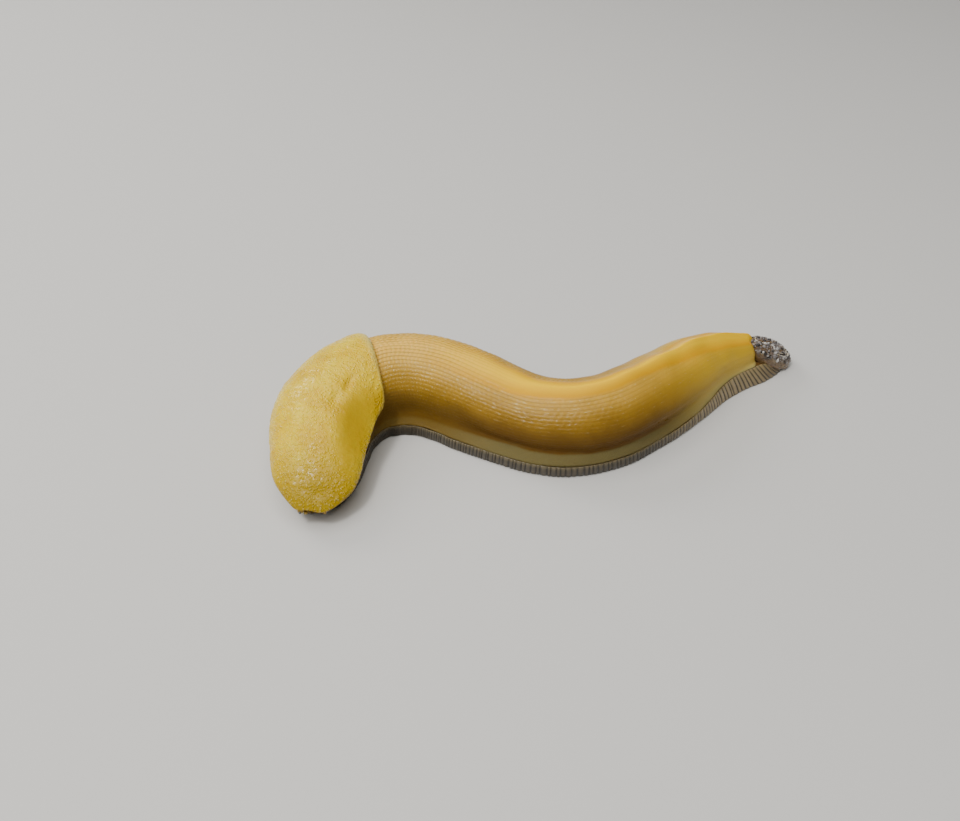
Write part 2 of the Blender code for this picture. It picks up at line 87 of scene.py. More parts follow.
CREASE_TUCK = 0.15
CREASE_TURN = 1.25
WIDEST_SHARE = 0.30
KEEL = (90 * MM, 90 * MM)
KEEL_PINCH = 0.65
KEEL_EDGE = 0.2
TAIL = (150 * MM, 40 * MM)
TIP = (186 * MM, 20 * MM)
SKIRT_BULGE = 0.5 * MM
END_NARROWING = 0.28
HEM_INSET = 0.25 * MM
HEM_GAP = 0.1 * MM
# The flat underside's points on each side: shares of the hem's, drops and added turns.
UNDER_SHARES = np.array((0.93, 0.6, 0.2))
UNDER_DROPS = np.array((0.6, 1.0, 1.0)) * MM
UNDER_TURNS = np.array((1.1, 1.2, 1.3))

# How finely the skin is divided, and the stretch under the mantle that is kept coarse.
SNOUT_FRONT = -2.0 * MM
SNOUT_LENGTH = 4.0 * MM
SNOUT_RINGS = 40
SNOUT_BLUNTNESS = 0.75
SNOUT_HEIGHT = 4.6 * MM
KEEL_END = 196 * MM
KEEL_ROUNDING = 3.4 * MM
KEEL_BLUNTNESS = 0.6
KEEL_RINGS = 14
HIDDEN_STEP = 1.2 * MM
SHOWN_STEP = 0.34 * MM
MANTLE_COVERS = 46 * MM
ROWS_A_SIDE = 20
POINTS_A_ROW = 4
SKIRT_POINTS = 8
SOFT_POINTS = 20
CREASE_SOFTENING = 22
FLAT_POINTS = 30
FLAT_SOFTENING = 120
SHARP_CREASE = (82 * MM, 26 * MM, 152 * MM, 26 * MM)

# The lips are two lobes beside the middle, with the mouth's slit across them.
LIP_SIDE = 0.7 * MM
LIP_SPREAD = 0.65 * MM
LIP_HEIGHT = 1.1 * MM
LIP_PUSH = 0.9 * MM
MOUTH_DEPTH = 1.1 * MM
MOUTH_HALF_WIDTH = 1.5 * MM
MOUTH_THICKNESS = 0.24 * MM
FACE_END = 1.2 * MM

# Furrows between the rows, the tubercles along each row, and slow unevenness. The keel
# stands up as a smooth bead along the crest, with a shallow hollow below it.
ROW_DEPTH = 0.16 * MM
ROW_SHARPNESS = 0.15
ROW_WANDER = 0.28
ROW_WANDER_LENGTH = 16 * MM
TUBERCLE_LENGTH = 1.7 * MM
TUBERCLE_DEPTH = 0.15 * MM
PHASE_WANDER = 1.6
UNEVENNESS = 0.22 * MM
UNEVENNESS_LENGTH = 9 * MM
CREST_BUMPS = 0.6 * MM
CREST_BUMP_LENGTH = 13 * MM
KEEL_BEAD = (0.55 * MM, 0.15)
KEEL_HOLLOW = (0.35 * MM, 0.33, 0.12)
SKIN_SEED = 3

# Where the relief comes and goes, each as (start, length) along the line.
BEAD_IN = (72 * MM, 34 * MM)
ROUGH_IN = (0, 14 * MM)
ROUGH_OUT = (108 * MM, 42 * MM)
UNEVENNESS_IN = (20 * MM, 60 * MM)
# The share of the rows and tubercles that is gone on the bead, on the tail and low down.
BEAD_SMOOTHNESS = 0.95
TAIL_SMOOTHNESS = 0.9
LOW_SMOOTHNESS = 0.65


def ease(x):
    """Smooth step: x squared times (3 - 2 x), with x kept between 0 and 1."""
    x = np.clip(x, 0, 1)
    return x * x * (3 - 2 * x)


def past(start, length, station):
    """0 before a stretch of the line, 1 after it, and a smooth step on it."""
    return ease((station - start) / length)


def bell(distance):
    """1 at no distance and less on both sides: e to the power of minus its square."""
    return np.exp(-(distance**2))


def along(table, column, station):
    """One column of a station table: the cubic through its rows that never overshoots.

    Each inner row's slope is the weighted harmonic mean of the slopes beside it, or 0
    where those differ in sign, and a cubic Hermite piece joins each pair of rows."""
    where, size = table[:, 0], table[:, column]
    gap = np.diff(where)
    slope = np.diff(size) / gap
    before, after = slope[:-1], slope[1:]
    monotone = before * after > 0
    weight = (2 * gap[1:] + gap[:-1]) / np.where(monotone, before, 1)
    weight += (gap[1:] + 2 * gap[:-1]) / np.where(monotone, after, 1)
    middle = np.where(monotone, 3 * (gap[1:] + gap[:-1]) / weight, 0)
    tangent = np.concatenate([slope[:1], middle, slope[-1:]])
    station = np.clip(station, where[0], where[-1])
    i = np.clip(np.searchsorted(where, station) - 1, 0, len(gap) - 1)
    t = (station - where[i]) / gap[i]
    start = (2 * t**3 - 3 * t**2 + 1) * size[i] + (t**3 - 2 * t**2 + t) * gap[i] * tangent[i]
    end = (3 * t**2 - 2 * t**3) * size[i + 1] + (t**3 - t**2) * gap[i] * tangent[i + 1]
    return start + end


def crawling_line(station):
    """x, y and heading at stations: the heading's unit vector summed along the line.

    The heading is the first one plus a smooth step of each bend's turn over its length."""
    fine = np.linspace(-LINE_MARGIN, BODY_LENGTH + LINE_MARGIN, LINE_POINTS)
    heading = np.full(len(fine), math.radians(LINE_HEADING))
    for middle, half, turn in BENDS:
        heading += math.radians(turn) * ease((fine - middle + half) / (2 * half))
    step = fine[1] - fine[0]
    x = np.cumsum(np.cos(heading)) * step
    y = np.cumsum(np.sin(heading)) * step
    x += LINE_START[0] - np.interp(0, fine, x)
    y += LINE_START[1] - np.interp(0, fine, y)
    return tuple(np.interp(station, fine, values) for values in (x, y, heading))


def place(station, side, height):
    """World points: the line's point, plus side times its normal, plus height up."""
    station, side, height = np.broadcast_arrays(station, side, height)
    x, y, heading = crawling_line(station)
    return np.stack([x - np.sin(heading) * side, y + np.cos(heading) * side, height], -1)


def fringe_height(station):
    """Height of the fringe's top: a constant plus a smooth step at each change."""
    changes = (FRINGE_FRONT, FRINGE_TAIL, FRINGE_END)
    rise = sum(change * past(start, length, station) for start, length, change in changes)
    return FRINGE_HEIGHT - FRINGE_FRONT[2] + rise


def crease_height(station):
    """Height of the crease: the fringe's, a lift, and a share of the back's height."""
    share = CREASE_FRONT_SHARE + (CREASE_SHARE - CREASE_FRONT_SHARE) * past(*CREASE_RISE, station)
    share *= 1 - past(*CREASE_FADE, station)
    return fringe_height(station) + CREASE_LIFT + share * along(BACK, 2, station)


def arch(station, width, height, turn):
    """(side, height) over the back: side = width sin(a)^p, rise = height cos(a)^q.

    a is a quarter turn from the crest, turn 0, to the widest point, turn 1.  p and q
    grow from 1 along the tail, which pinches the arch into a keel.  Past turn 1 the
    side draws in with the square of the distance to the crease."""
    crease = crease_height(station)
    widest = crease + WIDEST_SHARE * (height - crease)
    keel = past(*KEEL, station)
    angle = np.minimum(turn, 1) * math.pi / 2
    under = np.maximum(turn - 1, 0) / (CREASE_TURN - 1)
    tuck = CREASE_TUCK * (1 - past(*TAIL, station))
    side = width * np.maximum(np.sin(angle), 0) ** (1 + KEEL_PINCH * keel) * (1 - tuck * under**2)
    rise = (height - widest) * np.maximum(np.cos(angle), 0) ** (1 + KEEL_EDGE * keel)
    return side, widest + rise + (crease - widest) * under


def fringe_top(station):
    """Half the foot's width at the top of its fringe, which leans in along the tail."""
    tip = past(*TIP, station)
    edge = along(FOOT_HALF_WIDTH, 1, station)
    lean = FRINGE_LEAN + FRINGE_TAIL_LEAN * past(*TAIL, station) * (1 - tip)
    return edge - lean - END_NARROWING * edge * tip


def waves(points, length, seed, count=24):
    """Smooth random unevenness between about -1 and 1: a mean of sines.

    Each sine runs in its own seeded direction with a wave length near the one given."""
    draw = np.random.default_rng(seed)
    direction = draw.normal(size=(points.shape[-1], count))
    direction /= np.linalg.norm(direction, axis=0)
    pitch = direction * math.tau / (length * draw.uniform(0.7, 1.5, count))
    return np.sin(points @ pitch + draw.uniform(0, math.tau, count)).mean(-1) * math.sqrt(count / 6)


def outward(points):
    """Unit normals of a grid closed around: the cross product of its two differences.

    Their sign is the one that points away from the middles of the rings."""
    lengthwise = np.gradient(points, axis=0)
    crosswise = np.roll(points, -1, axis=1) - np.roll(points, 1, axis=1)
    normal = np.cross(crosswise, lengthwise)
    normal /= np.maximum(np.linalg.norm(normal, axis=-1, keepdims=True), 1e-12)
    return normal * np.sign((normal * (points - points.mean(axis=1, keepdims=True))).sum())


def added(name, data):
    """A new object in the scene that holds a mesh, a light or a camera."""
    thing = bpy.data.objects.new(name, data)
    bpy.context.scene.collection.objects.link(thing)
    return thing


def mesh_piece(name, points, faces):
    """A new object with a mesh of its own, from points and faces."""
    mesh = bpy.data.meshes.new(name)
    mesh.from_pydata(np.reshape(points, (-1, 3)).tolist(), [], faces)
    return added(name, mesh)


def closed_skin(name, rings, lie):
    """A piece from rings closed around, with a pole at each end where the fans meet.

    lie is stored on each point, so that the materials can follow the surface."""
    count, size = rings.shape[:2]
    centre = rings.mean(axis=(0, 1))
    first = np.arange(size)
    after = np.roll(first, -1)
    row = np.arange(count - 1)[:, None] * size
    quads = np.stack([row + first, row + after, row + size + after, row + size + first], -1).reshape(-1, 4)
    start = np.stack([np.full(size, count * size), after, first], -1)
    last = (count - 1) * size
    end = np.stack([np.full(size, count * size + 1), last + first, last + after], -1)
    poles = np.stack([rings[0].mean(axis=0), rings[-1].mean(axis=0)])
    points = np.concatenate([rings.reshape(-1, 3), poles])
    a, b, c = (points[quads[:, i]] - centre for i in (0, 1, 2))
    if np.einsum("ij,ij->i", a, np.cross(b, c)).sum() < 0:
        quads, start, end = quads[:, ::-1], start[:, ::-1], end[:, ::-1]
    piece = mesh_piece(name, points, quads.tolist() + start.tolist() + end.tolist())
    lie = np.concatenate([lie.reshape(-1, 3), lie[:1].mean(axis=1), lie[-1:].mean(axis=1)])
    piece.data.attributes.new("lie", "FLOAT_VECTOR", "POINT").data.foreach_set("vector", lie.ravel())
    piece.data.shade_smooth()
    return piece


def rounded(half, points, times):
    """Half sections with the crease rounded: values averaged 1 : 2 : 1 a number of times.

    It works from some points above the crease down to the hem, which stays in place."""
    half = half.copy()
    soft = slice(ROWS_A_SIDE * POINTS_A_ROW - points, -4)
    for _ in range(times):
        half[:, soft] = (np.roll(half, 1, axis=1) + 2 * half + np.roll(half, -1, axis=1))[:, soft] / 4
    return half


def face_push(station, side, height):
    """How far the snout's front stands forward: two bells for the lips, less a slit."""
    above = height - SNOUT_HEIGHT
    lips = np.exp(-((np.abs(side) - LIP_SIDE) / LIP_SPREAD) ** 2 - (above / LIP_HEIGHT) ** 2)
    slit = bell(above / MOUTH_THICKNESS) * ease((MOUTH_HALF_WIDTH - np.abs(side)) / LIP_SPREAD)
    return (LIP_PUSH * lips - MOUTH_DEPTH * slit) * (1 - past(SNOUT_FRONT, FACE_END - SNOUT_FRONT, station))


def wall_rings():
    """The body wall's rings, and each point's lie: station, signed row number, turn.

    A ring is the arch from crease to crease, the skirt below it on each side, which is
    the chord from crease to hem plus a sine of bulge, and a flat underside between the
    hems.  At the snout the rings shrink with the sine of an angle, and at the end of
    the keel they do the same over a shorter stretch.  The row number is the turn times
    the rows in it, plus slow waves, so that the rows wander."""
    angle = np.linspace(0, math.pi / 2, SNOUT_RINGS + 1)[1:]
    snout = SNOUT_FRONT + SNOUT_LENGTH * (1 - np.cos(angle))
    hidden = np.arange(snout[-1] + HIDDEN_STEP, MANTLE_COVERS, HIDDEN_STEP)
    shown = np.arange(MANTLE_COVERS, KEEL_END - KEEL_ROUNDING, SHOWN_STEP)
    closing = np.linspace(0, math.pi / 2, KEEL_RINGS)[:-1]
    end = KEEL_END - KEEL_ROUNDING * (1 - np.sin(closing))
    station = np.concatenate([snout, hidden, shown, end])[:, None]
    whole = np.ones(len(hidden) + len(shown))
    share = [np.sin(angle) ** SNOUT_BLUNTNESS, whole, np.cos(closing) ** KEEL_BLUNTNESS]
    share = np.concatenate(share)[:, None]
    turn = np.linspace(0, CREASE_TURN, ROWS_A_SIDE * POINTS_A_ROW + 1)[None, :]
    height = along(BACK, 2, station)
    height += CREST_BUMPS * waves(station[:, None], CREST_BUMP_LENGTH, SKIN_SEED + 1) * past(*KEEL, station)
    half = np.stack(arch(station, along(BACK, 1, station), height, turn), -1)
    hem = np.stack([fringe_top(station) - HEM_INSET, fringe_height(station) + HEM_GAP], -1)
    run = np.linspace(0, 1, SKIRT_POINTS + 1)[1:]
    bulge = SKIRT_BULGE * np.sin(math.pi * run) * (1 - past(*TAIL, station))
    skirt = half[:, -1:] + (hem - half[:, -1:]) * run[:, None] + bulge[..., None]
    under = np.stack([hem[..., 0] * UNDER_SHARES, hem[..., 1] - UNDER_DROPS], -1)
    half = np.concatenate([half, skirt, under], 1)
    start, fold_in, end, fold_out = SHARP_CREASE
    folded = past(start, fold_in, station) * (1 - past(end, fold_out, station))
    flat = rounded(half, FLAT_POINTS, FLAT_SOFTENING)
    half = flat + (rounded(half, SOFT_POINTS, CREASE_SOFTENING) - flat) * folded[..., None]
    side = np.concatenate([half[..., 0], -half[:, :0:-1, 0]], 1)
    rise = np.concatenate([half[..., 1], half[:, :0:-1, 1]], 1)
    half_turn = np.concatenate([turn[0], CREASE_TURN + run, CREASE_TURN + UNDER_TURNS])
    turns = np.concatenate([half_turn, half_turn[:0:-1]])
    across = np.where(np.arange(len(turns)) < len(half_turn), 1, -1)
    centre = np.minimum(SNOUT_HEIGHT, rise.mean(axis=1, keepdims=True))
    side, rise = side * share, centre + (rise - centre) * share
    rings = place(station - face_push(station, side, rise), side, rise)
    row = turns / CREASE_TURN * ROWS_A_SIDE + ROW_WANDER * waves(rings, ROW_WANDER_LENGTH, SKIN_SEED + 3)
    lie = np.stack(np.broadcast_arrays(station / MM, across * row, turns), -1)
    return rings, lie


def relief(rings, lie):
    """Height of the skin's relief over the smooth wall.

    Lengthwise furrows lie where the row number is whole, each row is broken into
    tubercles by a fourth power of a cosine along it with its own phase, and slow waves
    make it uneven.  The keel's bead is smooth, and the tail nearly so."""
    station, row, turn = lie[..., 0] * MM, np.abs(lie[..., 1]), lie[..., 2]
    keel = past(*BEAD_IN, station)
    low = ease((turn - 0.5) / 0.35)
    rough = ease((CREASE_TURN + 0.05 - turn) / 0.3) * past(*ROUGH_IN, station)
    rough *= 1 - BEAD_SMOOTHNESS * ease((0.30 - turn) / 0.14) * keel
    rough *= (1 - TAIL_SMOOTHNESS * past(*ROUGH_OUT, station)) * (1 - LOW_SMOOTHNESS * low)
    furrow = bell((row - np.round(row)) / ROW_SHARPNESS)
    bead = KEEL_BEAD[0] * bell(turn / KEEL_BEAD[1])
    bead -= KEEL_HOLLOW[0] * bell((turn - KEEL_HOLLOW[1]) / KEEL_HOLLOW[2])
    phase = np.random.default_rng(SKIN_SEED).uniform(0, math.tau, ROWS_A_SIDE * 2 + 2)
    index = (np.floor(row) + np.where(lie[..., 1] < 0, ROWS_A_SIDE + 1, 0)).astype(int)
    index = np.clip(index, 0, len(phase) - 1)
    wander = PHASE_WANDER * waves(rings, 2.5 * UNEVENNESS_LENGTH, SKIN_SEED + 2)
    gap = np.cos(math.pi * station / TUBERCLE_LENGTH + phase[index] + wander) ** 4
    slow = waves(rings, UNEVENNESS_LENGTH, SKIN_SEED) * (0.35 + 0.65 * past(*UNEVENNESS_IN, station))
    return UNEVENNESS * slow + bead * keel - rough * (ROW_DEPTH * furrow + TUBERCLE_DEPTH * gap)


def linear(colour):
    """An sRGB hex colour as linear red, green, blue and 1: the sRGB curve undone."""
    code = np.array([int(colour[i:i + 2], 16) for i in (1, 3, 5)]) / 255
    return (*np.where(code > 0.04045, ((code + 0.055) / 1.055) ** 2.4, code / 12.92), 1.0)


def connect(made, inputs):
    """Sets a node's inputs: each to a number, a hex colour, or a link from a socket.

    Another node stands for its first output that is in use."""
    for slot, value in inputs.items():
        if isinstance(value, bpy.types.Node):
            value = next(output for output in value.outputs if output.enabled)
        if isinstance(value, bpy.types.NodeSocket):
            made.id_data.links.new(value, made.inputs[slot])
        else:
            made.inputs[slot].default_value = linear(value) if isinstance(value, str) else value


def add_node(tree, kind, inputs=None, stops=(), **settings):
    """Adds a shader node of a kind, with its settings, its inputs and a ramp's stops."""
    made = tree.nodes.new("ShaderNode" + kind)
    for name, value in settings.items():
        setattr(made, name, value)
    connect(made, inputs or {})
    for number, (position, colour) in enumerate(stops):
        if number > 1:
            made.color_ramp.elements.new(position)
        made.color_ramp.elements[number].position = position
        made.color_ramp.elements[number].color = linear(colour)
    return made


def new_material(name):
    """A new material, a function that adds nodes to it, and the shader in it."""
    made = bpy.data.materials.new(name)
    made.use_nodes = True
    tree = made.node_tree
    return made, functools.partial(add_node, tree), tree.nodes["Principled BSDF"]


wall, wall_lie = wall_rings()
wall += outward(wall) * relief(wall, wall_lie)[..., None]
body = closed_skin("body_wall", wall, wall_lie)

# Living slug skin, wet with thin mucus: colour goes from a golden crest down to a dark
# brown crease and a greenish skirt, and changes from the mantle to the tail. The darkening
# down the flank is partly painted shade, and the brown band above the crease is painted
# shade. The wet film gives the broad sheen, and the broken white dashes on the tops of the
# rows are painted glints.
back_skin, node, shader = new_material("wet_furrowed_skin")
place_on = node("Attribute", attribute_name="lie").outputs["Vector"]
station, row_number, turn = node("SeparateXYZ", {0: place_on}).outputs
at_object = node("TexCoord").outputs["Object"]
blotch = node("TexNoise", {"Vector": at_object, "Scale": 1 / (9 * MM), "Detail": 4.0})
shift = node("Math", {0: blotch, 1: 0.30, 2: -0.15}, operation="MULTIPLY_ADD")
level = node("Math", {0: turn, 1: shift}, operation="ADD")
share = node("Math", {0: level, 1: 2.4}, operation="DIVIDE")
# What changes along the body: two stations in millimetres, and the values at them.
to_rear, band_in, band_out = (
    node("MapRange", dict(enumerate((station, *change))), interpolation_type="SMOOTHSTEP")
    for change in ((134, 178, 0, 1), (76, 106, 0, 1), (132, 164, 1, 0))
)
faint, wide, fore, keel_along, long_share, dash_from, dash_end = (
    node("MapRange", dict(enumerate((station, *change))))
    for change in (
        (106, 148, 1, 0.15), (140, 178, 0, 0.24), (86, 112, 0.10, 0), (70, 104, 0, 1),
        (72, 100, 0, 1), (108, 140, 0.52, 0.60), (168, 186, 1, 0),
    )
)
# Painted shade in part: the front ramp darkens down the flank to dark brown low down.
front_colour = node("ValToRGB", {0: share}, stops=(
    (0.0, "#E6B64E"), (0.13, "#D4A63A"), (0.24, "#AC8426"), (0.37, "#7C5C1C"), (0.50, "#664A18"),
    (0.66, "#6E5828"),
))
rear_colour = node("ValToRGB", {0: share}, stops=(
    (0.0, "#E6B21C"), (0.14, "#D4A416"), (0.27, "#C29C28"), (0.42, "#CAA642"), (0.56, "#CCB25E"),
    (0.9, "#A8985C"),
))
ground = node("Mix", {0: to_rear, 6: front_colour, 7: rear_colour}, data_type="RGBA")
# The skirt is paler and greener than the flank, most of all in the middle of the body.
band_length = node("Math", {0: band_in, 1: band_out}, operation="MULTIPLY")
skirt_at = node("MapRange", {0: level, 1: 1.15, 2: 1.5, 4: 0.85})
skirt_share = node("Math", {0: skirt_at, 1: band_length}, operation="MULTIPLY")
# Painted shade: a brown band above the crease, where the flank overhangs the skirt, only
# along the middle of the body, dulls the flank too.
crease_shade_at = node("ValToRGB", {0: share}, stops=(
    (0.05, "#000000"), (0.13, "#949494"), (0.31, "#ACACAC"), (0.42, "#D0D0D0"), (0.50, "#FFFFFF"),
    (0.58, "#000000"),
))
crease_shade_share = node("Math", {0: band_length, 1: crease_shade_at}, operation="MULTIPLY")
# Painted shade in the furrows: the row number is whole in the middle of each.
row = node("Math", {0: row_number}, operation="ABSOLUTE")
from_furrow = node("Math", {0: row, 1: 0.5}, operation="PINGPONG")
line = node("MapRange", {0: from_furrow, 2: 0.20, 3: 1.0, 4: 0.0})
furrow_shade_level = node("ValToRGB", {0: share}, stops=(
    (0.0, "#BCBCBC"), (0.10, "#CCCCCC"), (0.22, "#A8A8A8"), (0.34, "#606060"), (0.5, "#202020"),
))
furrow_shade_share = line
for factor in (furrow_shade_level, faint):
    furrow_shade_share = node("Math", {0: furrow_shade_share, 1: factor}, operation="MULTIPLY")
# The keel is the purest gold, sharply parted from the flank, and widens along the tail.
widened = node("Math", {0: wide, 1: fore}, operation="ADD")
keel_level = node("Math", {0: turn, 1: widened}, operation="SUBTRACT")
keel_at = node("MapRange", {0: keel_level, 1: 0.28, 2: 0.19}, interpolation_type="SMOOTHSTEP")
keel_share = node("Math", {0: keel_at, 1: keel_along}, operation="MULTIPLY")
# Painted light and shade across the keel: its gold is paler at the crest and a deeper orange towards its
# lower edge.
keel_gold_and_shade = node("ValToRGB", {0: keel_level}, stops=(
    (0.0, "#F4C200"), (0.08, "#E6B000"), (0.15, "#DAA200"), (0.22, "#CE9400"),
))
# Painted glints: pale dashes on the tops of the rows, as the wet skin's highlights,
# 1 to 2 mm long beside the mantle, longer behind.
stretch = node("Mapping", {0: place_on, 3: (0.48, 1.9, 0.0)})
dash = node("TexNoise", {"Vector": stretch, "Scale": 1.0, "Detail": 4.0, "Roughness": 0.7})
short = node("Mapping", {0: place_on, 3: (1.3, 2.3, 0.0)})
bead = node("TexNoise", {"Vector": short, "Scale": 1.0, "Detail": 2.0})
streak = node("Mix", {0: long_share, 2: bead, 3: dash}, data_type="FLOAT")
dash_to = node("Math", {0: dash_from, 1: 0.15}, operation="ADD")
dash_spot = node("MapRange", {0: streak, 1: dash_from, 2: dash_to})
glint_band = node("ValToRGB", {0: share}, stops=(
    (0.0, "#6C6C6C"), (0.08, "#8C8C8C"), (0.17, "#D0D0D0"), (0.26, "#A0A0A0"), (0.36, "#303030"),
    (0.52, "#0A0A0A"),
))
off_furrow = node("MapRange", {0: from_furrow, 1: 0.20, 2: 0.42})
off_keel = node("Math", {0: 1.0, 1: keel_share}, operation="SUBTRACT")
dash_here = dash_spot
for factor in (off_furrow, off_keel):
    dash_here = node("Math", {0: dash_here, 1: factor}, operation="MULTIPLY")
painted_glint_share = dash_here
for factor in (glint_band, dash_end):
    painted_glint_share = node("Math", {0: painted_glint_share, 1: factor}, operation="MULTIPLY")
skin = ground
for layer_share, colour in (
    (skirt_share, "#716741"), (crease_shade_share, "#62441A"), (furrow_shade_share, "#5A3806"),
    (keel_share, keel_gold_and_shade), (painted_glint_share, "#F2E2AA"),
):
    skin = node("Mix", {0: layer_share, 6: skin, 7: colour}, data_type="RGBA")
# Skin grain under half a millimetre, drawn at 0.6 mm so that it shows.
grain = node("TexNoise", {"Vector": at_object, "Scale": 1 / (0.6 * MM), "Detail": 3.0})
wet = node("MapRange", {0: blotch, 1: 0.3, 2: 0.7, 3: 0.26, 4: 0.42})
dry = node("Math", {0: line, 1: 0.12, 2: wet}, operation="MULTIPLY_ADD")
raised = node("Math", {0: dash_here, 1: 0.7, 2: grain}, operation="MULTIPLY_ADD")
smooth = node("MapRange", {0: keel_share, 3: 0.7, 4: 0.15})
bump = node("Bump", {"Height": raised, "Strength": smooth, "Distance": 0.16 * MM})
# The mucus thins out down the flank and on the keel, which are duller.
film = node("MapRange", {0: level, 1: 0.5, 2: 1.0, 3: 0.40, 4: 0.0})
keel_film = node("MapRange", {0: keel_share, 3: 1.0, 4: 0.2})
thin_film = node("Math", {0: film, 1: keel_film}, operation="MULTIPLY")
connect(shader, {
    "Base Color": skin, "Roughness": dry, "IOR": 1.36, "Specular IOR Level": 0.09,
    "Normal": bump, "Coat Normal": bump, "Coat Weight": thin_film, "Coat Roughness": 0.08,
    "Coat IOR": 1.36, "Subsurface Weight": 0.15, "Subsurface Radius": (1.0, 0.5, 0.15),
    "Subsurface Scale": 1.0 * MM,
})
body.data.materials.append(back_skin)
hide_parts("head", "neck", "trunk_front", "trunk_middle", "trunk_rear", "tail")
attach(body, "root")

# The foot: a flat muscular sole with a fringe standing along both edges, ribbed by close
# upright grooves. It lies flat on the ground, and the furrow at its top parts it from
# the skirt.
FRINGE_BULGE = 0.35 * MM
RIB_PITCH = 1.05 * MM
RIB_TAIL_PITCH = 2.1 * MM
RIB_WIDENING = (130 * MM, 60 * MM)
RIB_UNEVENNESS = 0.30
RIB_SWEEP = ((150 * MM, 35 * MM, 2.2 * MM), (182 * MM, 22 * MM, 3.0 * MM))
RIB_GROOVE = 0.36 * MM
RIB_PROFILE = ((0.0, 1.0), (0.10, 0.58), (0.24, 0.20), (0.5, 0.0), (0.76, 0.20), (0.90, 0.58))
GROOVE_FADES = (0.12, 0.10)
RIB_FIRST = 2.6 * MM
RIB_LAST = 0.4 * MM
RIB_REACH = 5 * MM
RIB_TURNING = (10 * MM, 10 * MM)
TOE_HEIGHT = 0.12 * MM
FRONT_RINGS = 8
FACE_POINTS = 12
FURROW_RADIUS = 0.4 * MM
FURROW_POINTS = 5
FURROW_LEVEL = 1.2
SOLE_LEVEL = -0.2
SOLE_EDGE = 0.35 * MM
# Points of a ring inside the furrow and on the sole, as shares of the half width.
HIDDEN_SHARES = np.array((0.15, 0.55, 0.9))
HIDDEN_DROP = 0.3 * MM
SOLE_SHARES = np.array((0.9, 0.6, 0.2))
EDGE_SLOPES = (-1.4, 0.6)
EDGE_WAVES = 0.25 * MM
EDGE_WAVE_LENGTH = 7 * MM
FOOT_SEED = 5


def edge_slope(station):
    """How fast the foot widens along the line: a difference over a tenth of a millimetre."""
    step = 0.1 * MM
    ahead, behind = (along(FOOT_HALF_WIDTH, 1, station + way) for way in (step, -step))
    return (ahead - behind) / (2 * step)


def rib_starts():
    """Stations of the grooves: steps along the foot's edge, wider along the tail.

    Each groove is moved by a random share of its step, because real ribs are uneven."""
    fine = np.linspace(RIB_FIRST, BODY_LENGTH - RIB_LAST, 4000)
    pitch = RIB_PITCH + (RIB_TAIL_PITCH - RIB_PITCH) * past(*RIB_WIDENING, fine)
    run = np.diff(fine) * np.sqrt(1 + np.minimum(edge_slope(fine[1:]) ** 2, 2))
    count = np.concatenate([[0], np.cumsum(run / pitch[1:])])
    number = np.arange(int(count[-1]) + 1)
    moved = RIB_UNEVENNESS * np.random.default_rng(FOOT_SEED).uniform(-1, 1, len(number))
    return np.interp(number + moved, count, fine)


